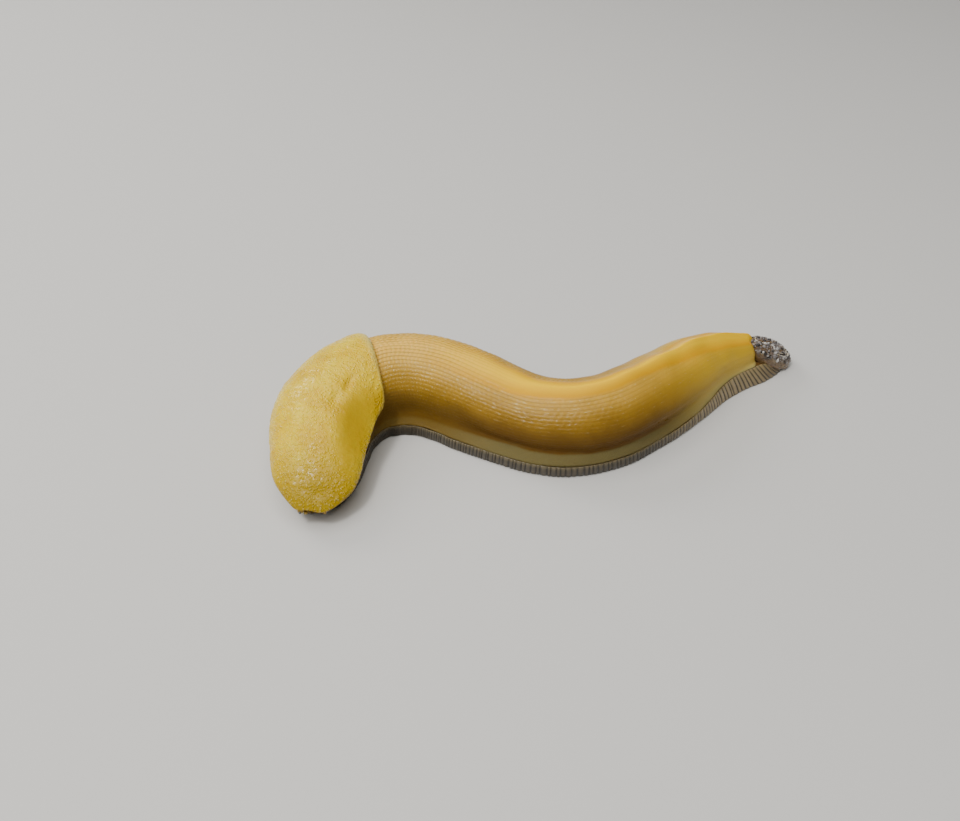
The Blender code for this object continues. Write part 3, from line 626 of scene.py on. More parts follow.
def foot_rings():
    """The foot's rings, and each point's lie: station, height share, depth of groove.

    A ring is half a section mirrored: from the middle of the hidden top out to the
    furrow, down the bulging face of the fringe, round the edge and along the sole.  It
    stands square to the foot's edge and sweeps back towards its foot, so that the
    grooves fan out round the tail."""
    starts = rib_starts()
    within, depth = np.array(RIB_PROFILE).T
    station = (starts[:-1, None] + np.diff(starts)[:, None] * within).ravel()
    front = np.linspace(0, math.pi / 2, FRONT_RINGS)[1:-1]
    station = np.concatenate([starts[0] - MM * np.cos(front), station, [starts[-1]]])
    groove = np.concatenate([np.zeros(len(front)), np.tile(depth, len(starts) - 1), [1.0]])[:, None]
    share = np.concatenate([np.sin(front), np.ones(len(station) - len(front))])[:, None]
    station = station[:, None]
    wavy = EDGE_WAVES * waves(place(station, 0, 0)[:, 0], EDGE_WAVE_LENGTH, FOOT_SEED)[:, None]
    down = np.linspace(0, 1, FACE_POINTS)[None, :]
    sweep = sum(reach * past(start, length, station) for start, length, reach in RIB_SWEEP)
    station = station - sweep * (1 - down)
    edge = (along(FOOT_HALF_WIDTH, 1, station) + wavy) * share
    top = (fringe_top(station) + wavy) * share
    height = fringe_height(station)
    upper, lower = ease(down / GROOVE_FADES[0]), ease((1 - down) / GROOVE_FADES[1])
    face_side = top + (edge - top) * down + FRINGE_BULGE * np.sin(math.pi * down)
    face_side -= RIB_GROOVE * groove * (0.25 + 0.75 * upper * lower)
    face_rise = np.where(down > 0.93, TOE_HEIGHT, height * (1 - down))
    face_rise[:, -1] = 0
    face_side[:, -1] -= SOLE_EDGE
    over = np.linspace(0, math.pi / 2, FURROW_POINTS + 1)[None, :-1]
    over_side = face_side[:, :1] - FURROW_RADIUS * np.cos(over)
    over_rise = face_rise[:, :1] - FURROW_RADIUS * (1 - np.sin(over))
    hidden_side = over_side[:, :1] * HIDDEN_SHARES
    hidden_rise = over_rise[:, :1] - HIDDEN_DROP + 0 * hidden_side
    sole_side = face_side[:, -1:] * SOLE_SHARES
    side = np.concatenate([hidden_side, over_side, face_side, sole_side], 1)
    rise = np.concatenate([hidden_rise, over_rise, face_rise, 0 * sole_side], 1)
    level = np.repeat((1.5, 1.4, FURROW_LEVEL), (2, 1, FURROW_POINTS))
    level = np.concatenate([level, 1 - down[0], np.full(len(SOLE_SHARES), SOLE_LEVEL)])
    more = ((0, 0), (len(HIDDEN_SHARES) + FURROW_POINTS, len(SOLE_SHARES)))
    edge, station = np.pad(edge, more, "edge"), np.pad(station, more, "edge")
    slope = np.clip(edge_slope(station), *EDGE_SLOPES) * share * past(*RIB_TURNING, station)
    inset = np.clip(edge - side, 0, RIB_REACH)
    shear = slope * inset / np.sqrt(1 + slope**2)
    side = edge - (edge - side) * np.where(inset > 0, 1 / np.sqrt(1 + slope**2), 1)
    station = station + shear
    station = np.concatenate([station, station[:, ::-1]], 1)
    side = np.concatenate([side, -side[:, ::-1]], 1)
    rise = np.concatenate([rise, rise[:, ::-1]], 1)
    level = np.concatenate([level, level[::-1]])
    lie = np.stack(np.broadcast_arrays(station / MM, level, groove), -1)
    return place(station, side, rise), lie


foot = closed_skin("foot", *foot_rings())

# The fringe is the toughest skin of the slug, matt beside the wet back: taupe ribs with
# grooves painted dark between them as shade, paler towards the tail, and dark along the
# front two thirds, painted almost black under the mantle as the shade there.
foot_skin, node, shader = new_material("ribbed_fringe_skin")
place_on = node("Attribute", attribute_name="lie").outputs["Vector"]
station, rise, groove = node("SeparateXYZ", {0: place_on}).outputs
at_object = node("TexCoord").outputs["Object"]
length_share = node("Math", {0: station, 1: BODY_LENGTH / MM}, operation="DIVIDE")
# Painted shade: the front two thirds of the fringe are dark, darkest under the mantle.
skin = node("ValToRGB", {0: length_share}, stops=(
    (0.0, "#3C3526"), (0.24, "#3A3428"), (0.40, "#4A4335"), (0.66, "#40392C"), (0.80, "#A08C66"),
    (0.93, "#948059"), (0.99, "#54401F"),
))
mottle = node("TexNoise", {"Vector": at_object, "Scale": 1 / (2.2 * MM), "Detail": 4.0})
# Over the taupe: mottling, the grooves darkened as painted shade, a paler rim as a painted
# highlight on the fringe's top, the furrow above it darkened as painted shade, and the sole.
for source, start, end, most, colour in (
    (mottle, 0.35, 0.75, 0.45, "#6B5D46"),
    (groove, 0.10, 0.75, 0.92, "#20180F"),
    (rise, 0.72, 1.0, 0.26, "#A8945C"),
    (rise, 1.15, 1.3, 1.0, "#6E4F22"),
    (rise, 0.0, -0.15, 1.0, "#C4B88E"),
):
    layer_share = node("MapRange", {0: source, 1: start, 2: end, 4: most})
    skin = node("Mix", {0: layer_share, 6: skin, 7: colour}, data_type="RGBA")
grain = node("TexNoise", {"Vector": at_object, "Scale": 1 / (0.4 * MM), "Detail": 3.0})
rough = node("MapRange", {0: mottle, 1: 0.3, 2: 0.7, 3: 0.34, 4: 0.52})
bump = node("Bump", {"Height": grain, "Strength": 0.5, "Distance": 0.08 * MM})
connect(shader, {
    "Base Color": skin, "Roughness": rough, "Normal": bump, "Coat Normal": bump,
    "Subsurface Weight": 0.12, "Subsurface Radius": (1.0, 0.6, 0.35), "Subsurface Scale": 0.6 * MM,
    "Coat Weight": 0.25, "Coat Roughness": 0.18,
})
foot.data.materials.append(foot_skin)
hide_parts("foot_front", "foot_middle", "foot_rear", "foot_tail")
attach(foot, "root")

# The tentacles: four drawn-in feelers, an upper pair with the eyes and a lower pair to
# taste with. Each is a soft hollow finger that rolls in from its tip, here to a stub.
UPPER_ROOT = (2.0 * MM, 3.0 * MM, 5.8 * MM)
UPPER_TIP = (-3.4 * MM, 3.8 * MM, 5.7 * MM)
UPPER_RADII = (1.1 * MM, 0.95 * MM)
RIGHT_UPPER_EXTRA = 0.5 * MM
LOWER_ROOT = (0.5 * MM, 2.45 * MM, 3.8 * MM)
LOWER_TIP = (-2.5 * MM, 2.8 * MM, 3.4 * MM)
LOWER_RADII = (0.75 * MM, 0.6 * MM)
EYE_RADIUS = 0.45 * MM
EYE_SINK = 0.2 * MM
TENTACLE_RINGS = 36
TENTACLE_SIDES = 28
WRINKLE_PITCH = 0.7 * MM
WRINKLE_DEPTH = 0.03
EYE_RINGS = 20
EYE_SIDES = 32


def bearings(count):
    """Angles that part a full turn evenly."""
    return np.arange(count) * math.tau / count


def circle_round(axis, bearing):
    """Unit vectors square to each axis, at bearings round it: cosine and sine of two of them."""
    across = np.cross(axis, (0, 0, 1))
    across /= np.maximum(np.linalg.norm(across, axis=-1, keepdims=True), 1e-9)
    upward = np.cross(across, axis)[..., None, :]
    return np.cos(bearing)[:, None] * across[..., None, :] + np.sin(bearing)[:, None] * upward


def finger(root, tip, radii, side, extra):
    """Rings of one tentacle: a tapering tube that ends in half a sphere.

    Its radius eases from the root's to the tip's, with faint rings of wrinkles, and
    falls with the cosine of an angle over the last radius of its length."""
    start = place(root[0], side * root[1], root[2])
    axis = place(tip[0], side * tip[1], tip[2]) - start
    length = np.linalg.norm(axis) + extra
    axis /= np.linalg.norm(axis)
    close = np.linspace(0, math.pi / 2, 10)[1:-1]
    straight = np.linspace(0, length - radii[1], TENTACLE_RINGS)
    reach = np.concatenate([straight, length - radii[1] * (1 - np.sin(close))])
    radius = radii[0] + (radii[1] - radii[0]) * ease(straight / straight[-1])
    radius = radius * (1 + WRINKLE_DEPTH * np.sin(math.tau * straight / WRINKLE_PITCH))
    radius = np.concatenate([radius, radii[1] * np.cos(close)])
    bearing = bearings(TENTACLE_SIDES)
    rings = start + axis * reach[:, None, None] + circle_round(axis, bearing) * radius[:, None, None]
    lie = np.stack(np.broadcast_arrays(reach[:, None] / MM, bearing, 0.0), -1)
    return rings, lie, start + axis * length, axis


def eyeball(name, centre, axis):
    """A sphere from rings of latitude round an axis: sine along it, cosine across it."""
    latitude = np.linspace(-math.pi / 2, math.pi / 2, EYE_RINGS)[1:-1, None, None]
    flat = circle_round(axis, bearings(EYE_SIDES))
    rings = centre + EYE_RADIUS * (np.sin(latitude) * axis + np.cos(latitude) * flat)
    return closed_skin(name, rings, np.zeros_like(rings))


def clouded_material(name, cloud, stops, rough, bump=None, values=None):
    """A material in which one noise picks the colour and the roughness.

    rough is the noise's range and the roughness at its ends, bump is a strength and a
    distance, and values are the shader's other inputs."""
    made, node, shader = new_material(name)
    noise = node("TexNoise", {"Vector": node("TexCoord").outputs["Object"], **cloud})
    colour = node("ValToRGB", {0: noise}, stops=stops)
    roughness = node("MapRange", dict(enumerate((noise, *rough))))
    connect(shader, {"Base Color": colour, "Roughness": roughness, **(values or {})})
    if bump:
        bumps = node("Bump", {"Height": noise, "Strength": bump[0], "Distance": bump[1]})
        connect(shader, {"Normal": bumps, "Coat Normal": bumps})
    return made


# Thin, fine-grained skin, duller and greyer than the back's and a little see-through.
head_skin = clouded_material(
    "tentacle_skin",
    cloud={"Scale": 1 / (0.35 * MM), "Detail": 3.0},
    stops=((0.3, "#9A7B36"), (0.7, "#C8A94E")),
    rough=(0.3, 0.7, 0.3, 0.42),
    bump=(0.4, 0.06 * MM),
    values={
        "Subsurface Weight": 0.3, "Subsurface Radius": (1.0, 0.5, 0.2), "Subsurface Scale": 0.8 * MM,
        "Coat Weight": 0.4, "Coat Roughness": 0.15,
    },
)

# The eye is a black pigment cup under a clear, always wet skin.
eye_black = clouded_material(
    "eye_pigment",
    cloud={"Scale": 1 / (0.3 * MM), "Detail": 2.0},
    stops=((0.3, "#0A0807"), (0.7, "#1E1713")),
    rough=(0.3, 0.7, 0.10, 0.18),
    values={"Coat Weight": 1.0, "Coat Roughness": 0.04},
)

tentacles, eyes = [], []
for side, word in ((-1, "left"), (1, "right")):
    extra = RIGHT_UPPER_EXTRA if side > 0 else 0.0
    rings, lie, tip, axis = finger(UPPER_ROOT, UPPER_TIP, UPPER_RADII, side, extra)
    tentacles.append(closed_skin("upper_feeler_" + word, rings, lie))
    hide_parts("upper_tentacle_" + word)
    eyes.append(eyeball(word + "_eye", tip - axis * EYE_SINK, axis))
    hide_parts("eye_" + word)
    rings, lie, tip, axis = finger(LOWER_ROOT, LOWER_TIP, LOWER_RADII, side, 0.0)
    tentacles.append(closed_skin("lower_feeler_" + word, rings, lie))
    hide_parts("lower_tentacle_" + word)
for piece in tentacles:
    piece.data.materials.append(head_skin)
    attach(piece, "root")
for piece in eyes:
    piece.data.materials.append(eye_black)
    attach(piece, "root")

# The mantle: a thick, smooth, finely granular shield of skin that lies over the front of
# the back like a saddle, joined underneath and free all round its rounded lip. The
# breathing pore opens near its right edge, with a cleft running down from it.
MANTLE_FACE = stations(
    (-7, 6.7, 6.6), (-4, 9.8, 9.3), (2, 12.6, 13.9), (14, 14.2, 19.8), (30, 17.0, 25.0),
    (46, 16.4, 26.8), (60, 16.0, 27.4),
)
MANTLE_MIDDLE = 28 * MM
MANTLE_FRONT_REACH = 32.8 * MM
MANTLE_REAR_REACH = 24.5 * MM
MANTLE_LAP = 1.1
MANTLE_BAY = (28 * MM, 13 * MM, 0.19)
MANTLE_SLANT = 2.7 * MM
MANTLE_SQUARENESS = 2.5
MANTLE_SIDES = 440
MANTLE_RINGS = 130
MANTLE_LIP = 0.10
MANTLE_LIP_LIFT = 0.40
MANTLE_UNDERSIDE = ((0.93, 0.05), (0.85, 0.05), (0.6, -0.3), (0.3, -0.4), (0.02, -0.4))
MANTLE_UNEVENNESS = 0.18 * MM
MANTLE_WAVE_LENGTH = 11 * MM
PORE_STATION = 34 * MM
PORE_TURN = 0.88
PORE_SIZE = (2.0 * MM, 0.09)
PORE_DEPTH = 1.3 * MM
PORE_RIM = 0.25 * MM
PORE_RIM_AT = 1.7
PORE_RIM_WIDTH = 0.4
CLEFT_WIDTH = 0.4 * MM
CLEFT_DEPTH = 0.5 * MM
# A lobe at the hood's right front corner: bearing, half angle, how far forward and down.
HOOD_LOBE = (2.78, 0.17, 1.1 * MM, 0.9 * MM)
# Hollows in the face as (station, turn, half length, half turn, depth): the smooth patch
# inside the bend, two dimples beside it, and a fold behind the front edge.
HOLLOWS = (
    (21 * MM, -0.50, 9 * MM, 0.20, 0.60 * MM),
    (25.9 * MM, -0.19, 3.0 * MM, 0.07, 0.80 * MM),
    (33 * MM, -0.27, 3.6 * MM, 0.04, 0.80 * MM),
    (-1.4 * MM, -0.10, 1.3 * MM, 0.16, 0.45 * MM),
)
PATCH_SMOOTHNESS = 0.85
GRANULE_LENGTH = 1.05 * MM
GRANULES = 0.06 * MM
WRINKLE_LENGTH = 2.2 * MM
WRINKLES = 0.14 * MM
# Wrinkles run across the mantle and a little askew: the matrix stretches them that way.
WRINKLE_LIE = np.array([[0.55, 0.3, 0.0], [0.0, 1.0, 0.0], [0.0, 0.0, 0.5]])
MANTLE_SEED = 11


def mantle_face(spread, bearing, lift):
    """Points, stations and turns on the mantle's disk, spread 0 to 1 from its middle.

    The disk is a superellipse in station and turn, drawn up on the left by a bell of
    the station.  A lift of 0 lies on the back, and a lift of 1 on the mantle's outer
    face; between them points mix in that share."""
    n = MANTLE_SQUARENESS
    oval = (np.abs(np.cos(bearing)) ** n + np.abs(np.sin(bearing)) ** n) ** (-1 / n)
    ahead = spread * oval * np.cos(bearing)
    across = spread * oval * np.sin(bearing)
    reach = np.where(ahead > 0, MANTLE_REAR_REACH, MANTLE_FRONT_REACH)
    station = MANTLE_MIDDLE + ahead * reach + across * MANTLE_SLANT
    middle, length, depth = MANTLE_BAY
    bay = np.where(across < 0, depth * bell((station - middle) / length), 0)
    turn = MANTLE_LAP * np.abs(across) * (1 - bay)
    low_side, low = arch(station, along(BACK, 1, station), along(BACK, 2, station), turn)
    high_side, high = arch(station, along(MANTLE_FACE, 1, station), along(MANTLE_FACE, 2, station), turn)
    side = low_side + (high_side - low_side) * lift
    rise = low + (high - low) * lift
    where, width, forward, drop = HOOD_LOBE
    lobe = bell((bearing - where) / width) * spread**8
    rings = place(station - forward * lobe, side * np.sign(across), rise - drop * lobe)
    return rings, station, turn * np.sign(across)


def mantle_rings():
    """The mantle's rings from the middle of its face, round the lip, to its underside.

    The face is lowered by the hollows and by a pit for the pore, all bells, and carries
    slow waves, wrinkles and granules, which fade in the first hollow and at the lip."""
    outer = np.sin(np.linspace(0.012, 1, MANTLE_RINGS) * math.pi / 2) ** 0.9
    lip = np.clip((outer - 1 + MANTLE_LIP) / MANTLE_LIP, 0, 1)
    lift = MANTLE_LIP_LIFT + (1 - MANTLE_LIP_LIFT) * np.sqrt(1 - lip**2)
    turned = np.linspace(0, math.pi / 2, 7)[1:]
    under, under_lift = np.transpose(MANTLE_UNDERSIDE)
    spread = np.concatenate([outer, 1 - 0.02 * (1 - np.cos(turned)), under])[:, None]
    curl = MANTLE_LIP_LIFT * (1 - 0.85 * np.sin(turned))
    lift = np.concatenate([lift, curl, under_lift])[:, None]
    bearing = bearings(MANTLE_SIDES)[None, :]
    rings, station, turn = mantle_face(spread, bearing, lift)
    face = (np.arange(len(spread)) < MANTLE_RINGS)[:, None]
    lie = np.stack(np.broadcast_arrays(station / MM, turn, spread), -1)
    pore = ((station - PORE_STATION) / PORE_SIZE[0]) ** 2 + ((turn - PORE_TURN) / PORE_SIZE[1]) ** 2
    pit = PORE_DEPTH * np.exp(-pore) - PORE_RIM * bell((np.sqrt(pore) - PORE_RIM_AT) / PORE_RIM_WIDTH)
    cleft = bell((station - PORE_STATION) / CLEFT_WIDTH) * ease((turn - PORE_TURN) / 0.1)
    height = -pit - CLEFT_DEPTH * cleft
    hollows = [
        np.exp(-((station - at_station) / half_length) ** 2 - ((turn - at_turn) / half_turn) ** 2)
        for at_station, at_turn, half_length, half_turn, _ in HOLLOWS
    ]
    for hollow, (*_, depth) in zip(hollows, HOLLOWS):
        height = height - depth * hollow
    rough = (1 - PATCH_SMOOTHNESS * hollows[0]) * ease((1 - spread) / 0.06)
    height = height + MANTLE_UNEVENNESS * waves(rings, MANTLE_WAVE_LENGTH, MANTLE_SEED)
    height = height + WRINKLES * rough * waves(rings @ WRINKLE_LIE, WRINKLE_LENGTH, MANTLE_SEED + 1)
    height = height + GRANULES * rough * waves(rings, GRANULE_LENGTH, MANTLE_SEED + 2, 60)
    return rings + outward(rings) * (height * face)[..., None], lie


mantle = closed_skin("mantle_shield", *mantle_rings())

# Thick wet skin full of fine granules, lemon yellow and slightly see-through: paler and
# cloudy along its thin rim, and a deep smooth gold in the hollow inside the bend, darker
# there partly as painted shade. The front is painted darker as shade, the granule tops
# carry painted glints, and the pore is painted dark as the shade in its pit.
mantle_skin, node, shader = new_material("granular_mantle_skin")
place_on = node("Attribute", attribute_name="lie").outputs["Vector"]
station, _, spread = node("SeparateXYZ", {0: place_on}).outputs
at_object = node("TexCoord").outputs["Object"]
blotch = node("TexNoise", {"Vector": at_object, "Scale": 1 / (8 * MM), "Detail": 4.0})
lemon = node("ValToRGB", {0: blotch}, stops=((0.3, "#D0A600"), (0.48, "#DEB80A"), (0.7, "#EACA26")))
# Painted shade in part: the smooth patch in the hollow is a deeper, darker gold.
patch_at = node("Mapping", {0: place_on, 1: (-1.17, 1.75, 0.0), 3: (0.062, 3.4, 0.0)})
patch_far = node("VectorMath", {0: patch_at}, operation="LENGTH")
# Painted shade: the front of the mantle is darker, where it slopes down away from the light.
front_shade_share, shaded_patch_share = (
    node("MapRange", dict(enumerate(change)), interpolation_type="SMOOTHSTEP")
    for change in ((station, 16.0, -4.0, 0.0, 0.9), (patch_far, 1.35, 0.25, 0.0, 0.9))
)
rim_at = node("MapRange", {0: spread, 1: 0.88, 2: 0.97, 4: 0.65})
rim_along = node("MapRange", {0: station, 1: 12.0, 2: 32.0})
rim_share = node("Math", {0: rim_at, 1: rim_along}, operation="MULTIPLY")
# Granules of 0.75 mm, each a cell that is palest at its middle: painted glints on the wet
# granule tops, fewer on the shaded patch.
granule = node("TexVoronoi", {"Vector": at_object, "Scale": 1 / (0.75 * MM), "Randomness": 1.0})
top = node("MapRange", {0: granule, 1: 0.55, 2: 0.1})
spot = node("MapRange", {0: granule, 1: 0.42, 2: 0.1})
wrinkle = node("TexNoise", {"Vector": at_object, "Scale": 1 / (1.8 * MM), "Detail": 3.0})
cluster = node("MapRange", {0: wrinkle, 1: 0.46, 2: 0.62})
off_patch = node("MapRange", {0: shaded_patch_share, 2: 0.6, 3: 0.42, 4: 0.04})
granule_glint_share = spot
for factor in (cluster, off_patch):
    granule_glint_share = node("Math", {0: granule_glint_share, 1: factor}, operation="MULTIPLY")
# Painted shade: the pit of the breathing pore is painted dark.
pore_at = node("Mapping", {0: place_on, 1: (-17.0, -9.8, 0.0), 3: (0.5, 11.1, 0.0)})
pore_far = node("VectorMath", {0: pore_at}, operation="LENGTH")
pore_shade_share = node("MapRange", {0: pore_far, 1: 1.0, 2: 0.45})
skin = lemon
for layer_share, colour in (
    (front_shade_share, "#9C7E00"), (shaded_patch_share, "#B49000"), (rim_share, "#DFCB74"),
    (granule_glint_share, "#F4E288"), (pore_shade_share, "#3A2608"),
):
    skin = node("Mix", {0: layer_share, 6: skin, 7: colour}, data_type="RGBA")
raised = node("Math", {0: wrinkle, 1: 1.2, 2: top}, operation="MULTIPLY_ADD")
strength = node("MapRange", {0: shaded_patch_share, 2: 0.6, 3: 1.0, 4: 0.12})
bump = node("Bump", {"Height": raised, "Strength": strength, "Distance": 0.2 * MM})
rough = node("MapRange", {0: wrinkle, 1: 0.3, 2: 0.7, 3: 0.20, 4: 0.34})
connect(shader, {
    "Base Color": skin, "Roughness": rough, "IOR": 1.38, "Specular IOR Level": 0.2,
    "Normal": bump, "Coat Normal": bump, "Coat Weight": 0.45, "Coat Roughness": 0.16,
    "Coat IOR": 1.36, "Subsurface Weight": 0.2, "Subsurface Radius": (1.0, 0.6, 0.15),
    "Subsurface Scale": 1.2 * MM,
})
mantle.data.materials.append(mantle_skin)
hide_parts("mantle")
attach(mantle, "root")

# The slime plug: a lump of dried mucus in the pit at the end of the keel, amber and
# clear where it is clean. It slopes down to the rear over the end of the foot.
PLUG_PLACE = (202.8 * MM, -1.2 * MM, 5.7 * MM)
PLUG_SIZE = np.array((8.6, 5.4, 4.2)) * MM
PLUG_SLOPE = 0.52
PLUG_SPREAD = 1.2
PLUG_SAG = 2.0
PLUG_LOWEST = 0.4 * MM
PLUG_RINGS = 84
PLUG_SIDES = 140
PLUG_SEED = 21


def plug_surface(unit, lift=0.0):
    """World points of the plug in directions given as unit vectors.

    Its radius is the ellipsoid's, changed by slow and quick waves, plus a lift.  Its
    lower half spreads and sags, most in front, until it meets the foot, and the slope
    then lowers each point by a share of how far back it lies."""
    uneven = 0.10 * waves(unit, 1.6, PLUG_SEED) + 0.05 * waves(unit, 0.6, PLUG_SEED + 1)
    offset = unit * (PLUG_SIZE * (1 + uneven)[..., None] + lift)
    below = ease(-unit[..., 2] / 0.5)
    offset[..., 1] *= 1 + (PLUG_SPREAD - 1) * below
    offset[..., 2] *= 1 + (PLUG_SAG - 1) * below * (1 - unit[..., 0]) / 2
    station, side, height = PLUG_PLACE
    rise = np.maximum(height + offset[..., 2] - PLUG_SLOPE * offset[..., 0], PLUG_LOWEST)
    return place(station + offset[..., 0], side + offset[..., 1], rise)


def direction(latitude, bearing):
    """Unit vectors at angles above the level and round it: cosines and sines of both."""
    level = np.cos(latitude)
    return np.stack(np.broadcast_arrays(
        level * np.cos(bearing), level * np.sin(bearing), np.sin(latitude),
    ), -1)


latitude = np.linspace(-math.pi / 2, math.pi / 2, PLUG_RINGS)[1:-1, None]
unit = direction(latitude, bearings(PLUG_SIDES))
plug = closed_skin("slime_plug_jelly", plug_surface(unit), unit)

# Dried mucus looks like old varnish: amber, glossy where bare, cloudy where it has air
# and dust in it.
jelly = clouded_material(
    "dried_mucus",
    cloud={"Scale": 1 / (1.6 * MM), "Detail": 5.0, "Roughness": 0.65},
    stops=(
        (0.28, "#2A1D10"), (0.42, "#59401F"), (0.55, "#73572F"), (0.66, "#917C58"), (0.78, "#BDB4A2"),
    ),
    rough=(0.35, 0.7, 0.18, 0.6),
    bump=(0.8, 0.35 * MM),
    values={
        "Subsurface Weight": 0.35, "Subsurface Radius": (1.0, 0.55, 0.25), "Subsurface Scale": 1.2 * MM,
        "Coat Weight": 0.6, "Coat Roughness": 0.1,
    },
)
plug.data.materials.append(jelly)
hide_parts("slime_plug")
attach(plug, "root")

# Grit stuck in the mucus: sand grains and leaf crumbs, angular and pressed half in, all
# over the upper half of the plug.
GRIT_COUNT = 760
GRIT_RADIUS = (0.20 * MM, 0.80 * MM)
GRIT_SINK = 0.05 * MM
GRIT_LOWEST = 0.15 * MM
GRIT_STRETCH = (0.55, 1.25)
GRIT_RAGGEDNESS = (0.78, 1.18)
GRIT_SEED = 31

draw = np.random.default_rng(GRIT_SEED)
golden = (1 + math.sqrt(5)) / 2
corners = np.array([
    (-1, golden, 0), (1, golden, 0), (-1, -golden, 0), (1, -golden, 0), (0, -1, golden), (0, 1, golden),
    (0, -1, -golden), (0, 1, -golden), (golden, 0, -1), (golden, 0, 1), (-golden, 0, -1), (-golden, 0, 1),
]) / math.hypot(1, golden)
faces = np.array([
    (0, 11, 5), (0, 5, 1), (0, 1, 7), (0, 7, 10), (0, 10, 11), (1, 5, 9), (5, 11, 4), (11, 10, 2),
    (10, 7, 6), (7, 1, 8), (3, 9, 4), (3, 4, 2), (3, 2, 6), (3, 6, 8), (3, 8, 9), (4, 9, 5),
    (2, 4, 11), (6, 2, 10), (8, 6, 7), (9, 8, 1),
])
up = draw.uniform(0.05, 1.0, GRIT_COUNT)
around = draw.uniform(-math.pi, math.pi, GRIT_COUNT)
flat = np.sqrt(1 - up**2)
seat = plug_surface(np.stack([flat * np.cos(around), flat * np.sin(around), up], -1), -GRIT_SINK)
spin, _ = np.linalg.qr(draw.normal(size=(GRIT_COUNT, 3, 3)))
size = GRIT_RADIUS[0] + (GRIT_RADIUS[1] - GRIT_RADIUS[0]) * draw.uniform(size=GRIT_COUNT) ** 2
size = size[:, None] * draw.uniform(*GRIT_STRETCH, (GRIT_COUNT, 3))
rough_corners = corners * draw.uniform(*GRIT_RAGGEDNESS, (GRIT_COUNT, 12, 1))
grain_points = np.einsum("gij,gkj->gki", spin, rough_corners * size[:, None, :])
inside_out = np.linalg.det(spin) < 0
grain_points[inside_out] *= -1
grain_points += seat[:, None, :]
grain_points[..., 2] = np.maximum(grain_points[..., 2], GRIT_LOWEST)
grit_faces = faces[None] + 12 * np.arange(GRIT_COUNT)[:, None, None]
grit = mesh_piece("plug_grit", grain_points, grit_faces.reshape(-1, 3).tolist())
tone = np.repeat(draw.uniform(size=GRIT_COUNT), 12)
grit.data.attributes.new("tone", "FLOAT", "POINT").data.foreach_set("value", tone)

# Quartz, slate and bark crumbs: the tone, one for each grain, picks its colour.
grit_stone, node, shader = new_material("sand_and_crumbs")
pick = node("Attribute", attribute_name="tone").outputs["Fac"]
stone = node("ValToRGB", {0: pick}, stops=(
    (0.0, "#161211"), (0.24, "#2C2725"), (0.38, "#625C59"), (0.64, "#8A8480"), (0.76, "#66503A"),
    (0.84, "#A29C96"), (1.0, "#D2CDC6"),
))
at_object = node("TexCoord").outputs["Object"]
speck = node("TexNoise", {"Vector": at_object, "Scale": 1 / (0.3 * MM), "Detail": 3.0})
speck_share = node("MapRange", {0: speck, 1: 0.4, 2: 0.75, 4: 0.5})
specked = node("Mix", {0: speck_share, 6: stone, 7: "#4A3E36"}, data_type="RGBA")
rough = node("MapRange", {0: speck, 1: 0.3, 2: 0.7, 3: 0.35, 4: 0.75})
connect(shader, {"Base Color": specked, "Roughness": rough})
grit.data.materials.append(grit_stone)
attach(grit, "root")

# Threads of mucus that dried white: thin strands over the plug, fast at both ends.
THREAD_COUNT = 10
THREAD_POINTS = 28
THREAD_SIDES = 6
THREAD_RADIUS = 0.14 * MM
THREAD_LIFT = 0.12 * MM
THREAD_SEED = 41

draw = np.random.default_rng(THREAD_SEED)
t = np.linspace(-1, 1, THREAD_POINTS)[None, :]
start_bearing = draw.uniform(-math.pi, math.pi, (THREAD_COUNT, 1))
span = draw.uniform(0.35, 1.0, (THREAD_COUNT, 1))
bow = draw.uniform(-0.5, 0.5, (THREAD_COUNT, 1))
lift_at = draw.uniform(0.15, 1.1, (THREAD_COUNT, 1))
thread_bearing = start_bearing + span * t
thread_up = np.clip(lift_at + bow * (1 - t**2), -0.1, 1.4)
line_points = plug_surface(direction(thread_up, thread_bearing), THREAD_LIFT)
along_thread = np.gradient(line_points, axis=1)
along_thread /= np.linalg.norm(along_thread, axis=-1, keepdims=True)
taper = THREAD_RADIUS * (0.25 + 0.75 * (1 - t**4))[..., None, None]
thread_rings = line_points[:, :, None, :] + taper * circle_round(along_thread, bearings(THREAD_SIDES))
ring_start = THREAD_SIDES * np.arange(THREAD_COUNT * THREAD_POINTS).reshape(THREAD_COUNT, THREAD_POINTS, 1)
near, far = ring_start[:, :-1], ring_start[:, 1:]
one = np.arange(THREAD_SIDES)
two = np.roll(one, -1)
thread_faces = np.stack([near + one, near + two, far + two, far + one], -1).reshape(-1, 4).tolist()
thread_faces += (ring_start[:, 0] + one[::-1]).tolist() + (ring_start[:, -1] + one).tolist()
threads = mesh_piece("mucus_threads", thread_rings, thread_faces)
threads.data.shade_smooth()

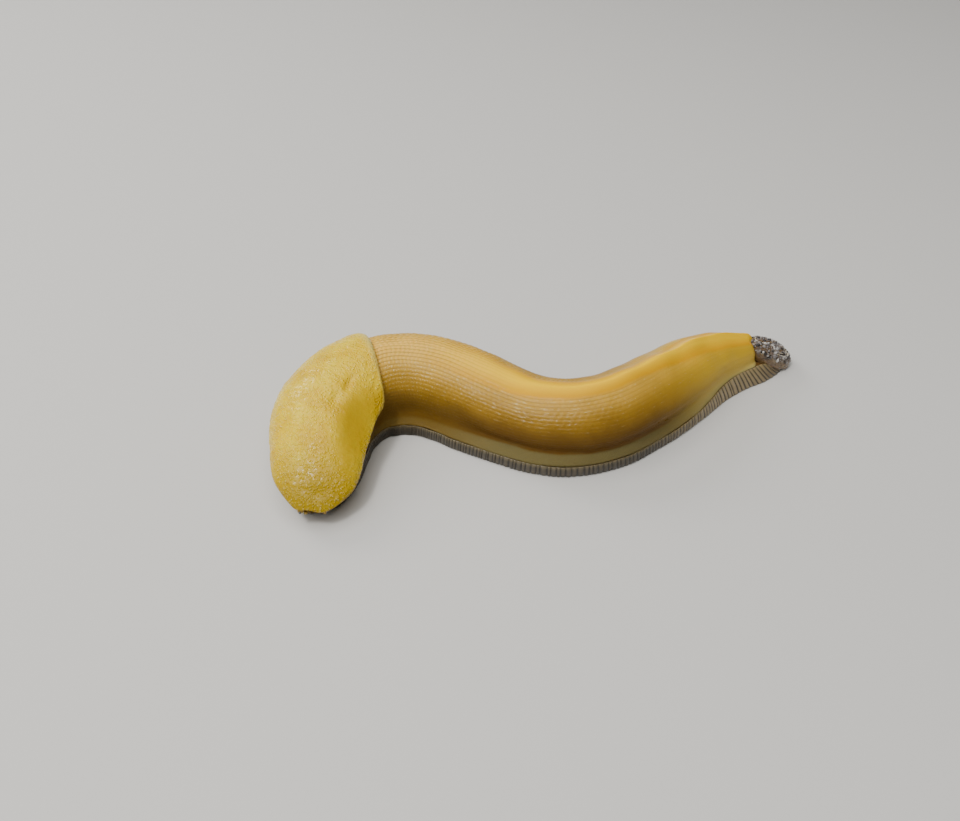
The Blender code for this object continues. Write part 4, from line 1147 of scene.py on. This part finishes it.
# Dried mucus full of air: white and silky, with amber showing through.
silk = clouded_material(
    "white_mucus_thread",
    cloud={"Scale": 1 / (0.9 * MM), "Detail": 3.0},
    stops=((0.35, "#A8946C"), (0.65, "#EAE4D6")),
    rough=(0.3, 0.7, 0.3, 0.5),
)
threads.data.materials.append(silk)
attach(threads, "root")

# The floor of the picture: a plain pale studio table.
FLOOR_HALF = 3.0
floor_corners = [(x * FLOOR_HALF, y * FLOOR_HALF, 0) for x, y in ((-1, -1), (1, -1), (1, 1), (-1, 1))]
floor = mesh_piece("floor", floor_corners, [(0, 1, 2, 3)])
table_top, _, shader = new_material("pale_table")
connect(shader, {"Base Color": "#C9C6C0", "Roughness": 0.85})
floor.data.materials.append(table_top)

# The camera looks down on the near flank, as the photograph does.
CAMERA_TARGET = (-0.02267, 0.00855, 0)
CAMERA_ELEVATION = 43
CAMERA_DISTANCE = 0.2805
CAMERA_LENS = 31.875
CAMERA_SENSOR = 36
camera = added("camera", bpy.data.cameras.new("camera"))
tilt = math.radians(CAMERA_ELEVATION)
camera.location = (
    CAMERA_TARGET[0],
    CAMERA_TARGET[1] - CAMERA_DISTANCE * math.cos(tilt),
    CAMERA_DISTANCE * math.sin(tilt),
)
camera.rotation_euler = (math.pi / 2 - tilt, 0, 0)
camera.data.lens = CAMERA_LENS
camera.data.sensor_width = CAMERA_SENSOR
camera.data.clip_start = 0.01
bpy.context.scene.camera = camera

# Soft daylight: a broad sky overhead that leans a little to the left and to the camera's
# side, a small bright part of it for crisp glints on the wet skin, and a window behind on
# the left for the mantle's sheen.
for name, spot, size, power in (
    ("sky", (-0.22, -0.18, 0.90), 1.2, 11.5),
    ("gap_in_the_clouds", (-0.30, -0.26, 0.82), 0.14, 3.4),
    ("far_window", (-0.60, 0.50, 0.55), 0.34, 3.4),
):
    light = added(name, bpy.data.lights.new(name, "AREA"))
    light.data.energy = power
    light.data.size = size
    light.location = spot
    lean = math.acos(spot[2] / math.dist(spot, (0, 0, 0)))
    light.rotation_euler = (lean, 0, math.atan2(spot[1], spot[0]) + math.pi / 2)
world = bpy.data.worlds.new("studio")
world.use_nodes = True
connect(world.node_tree.nodes["Background"], {"Color": "#DDE3EA", "Strength": 0.18})
bpy.context.scene.world = world
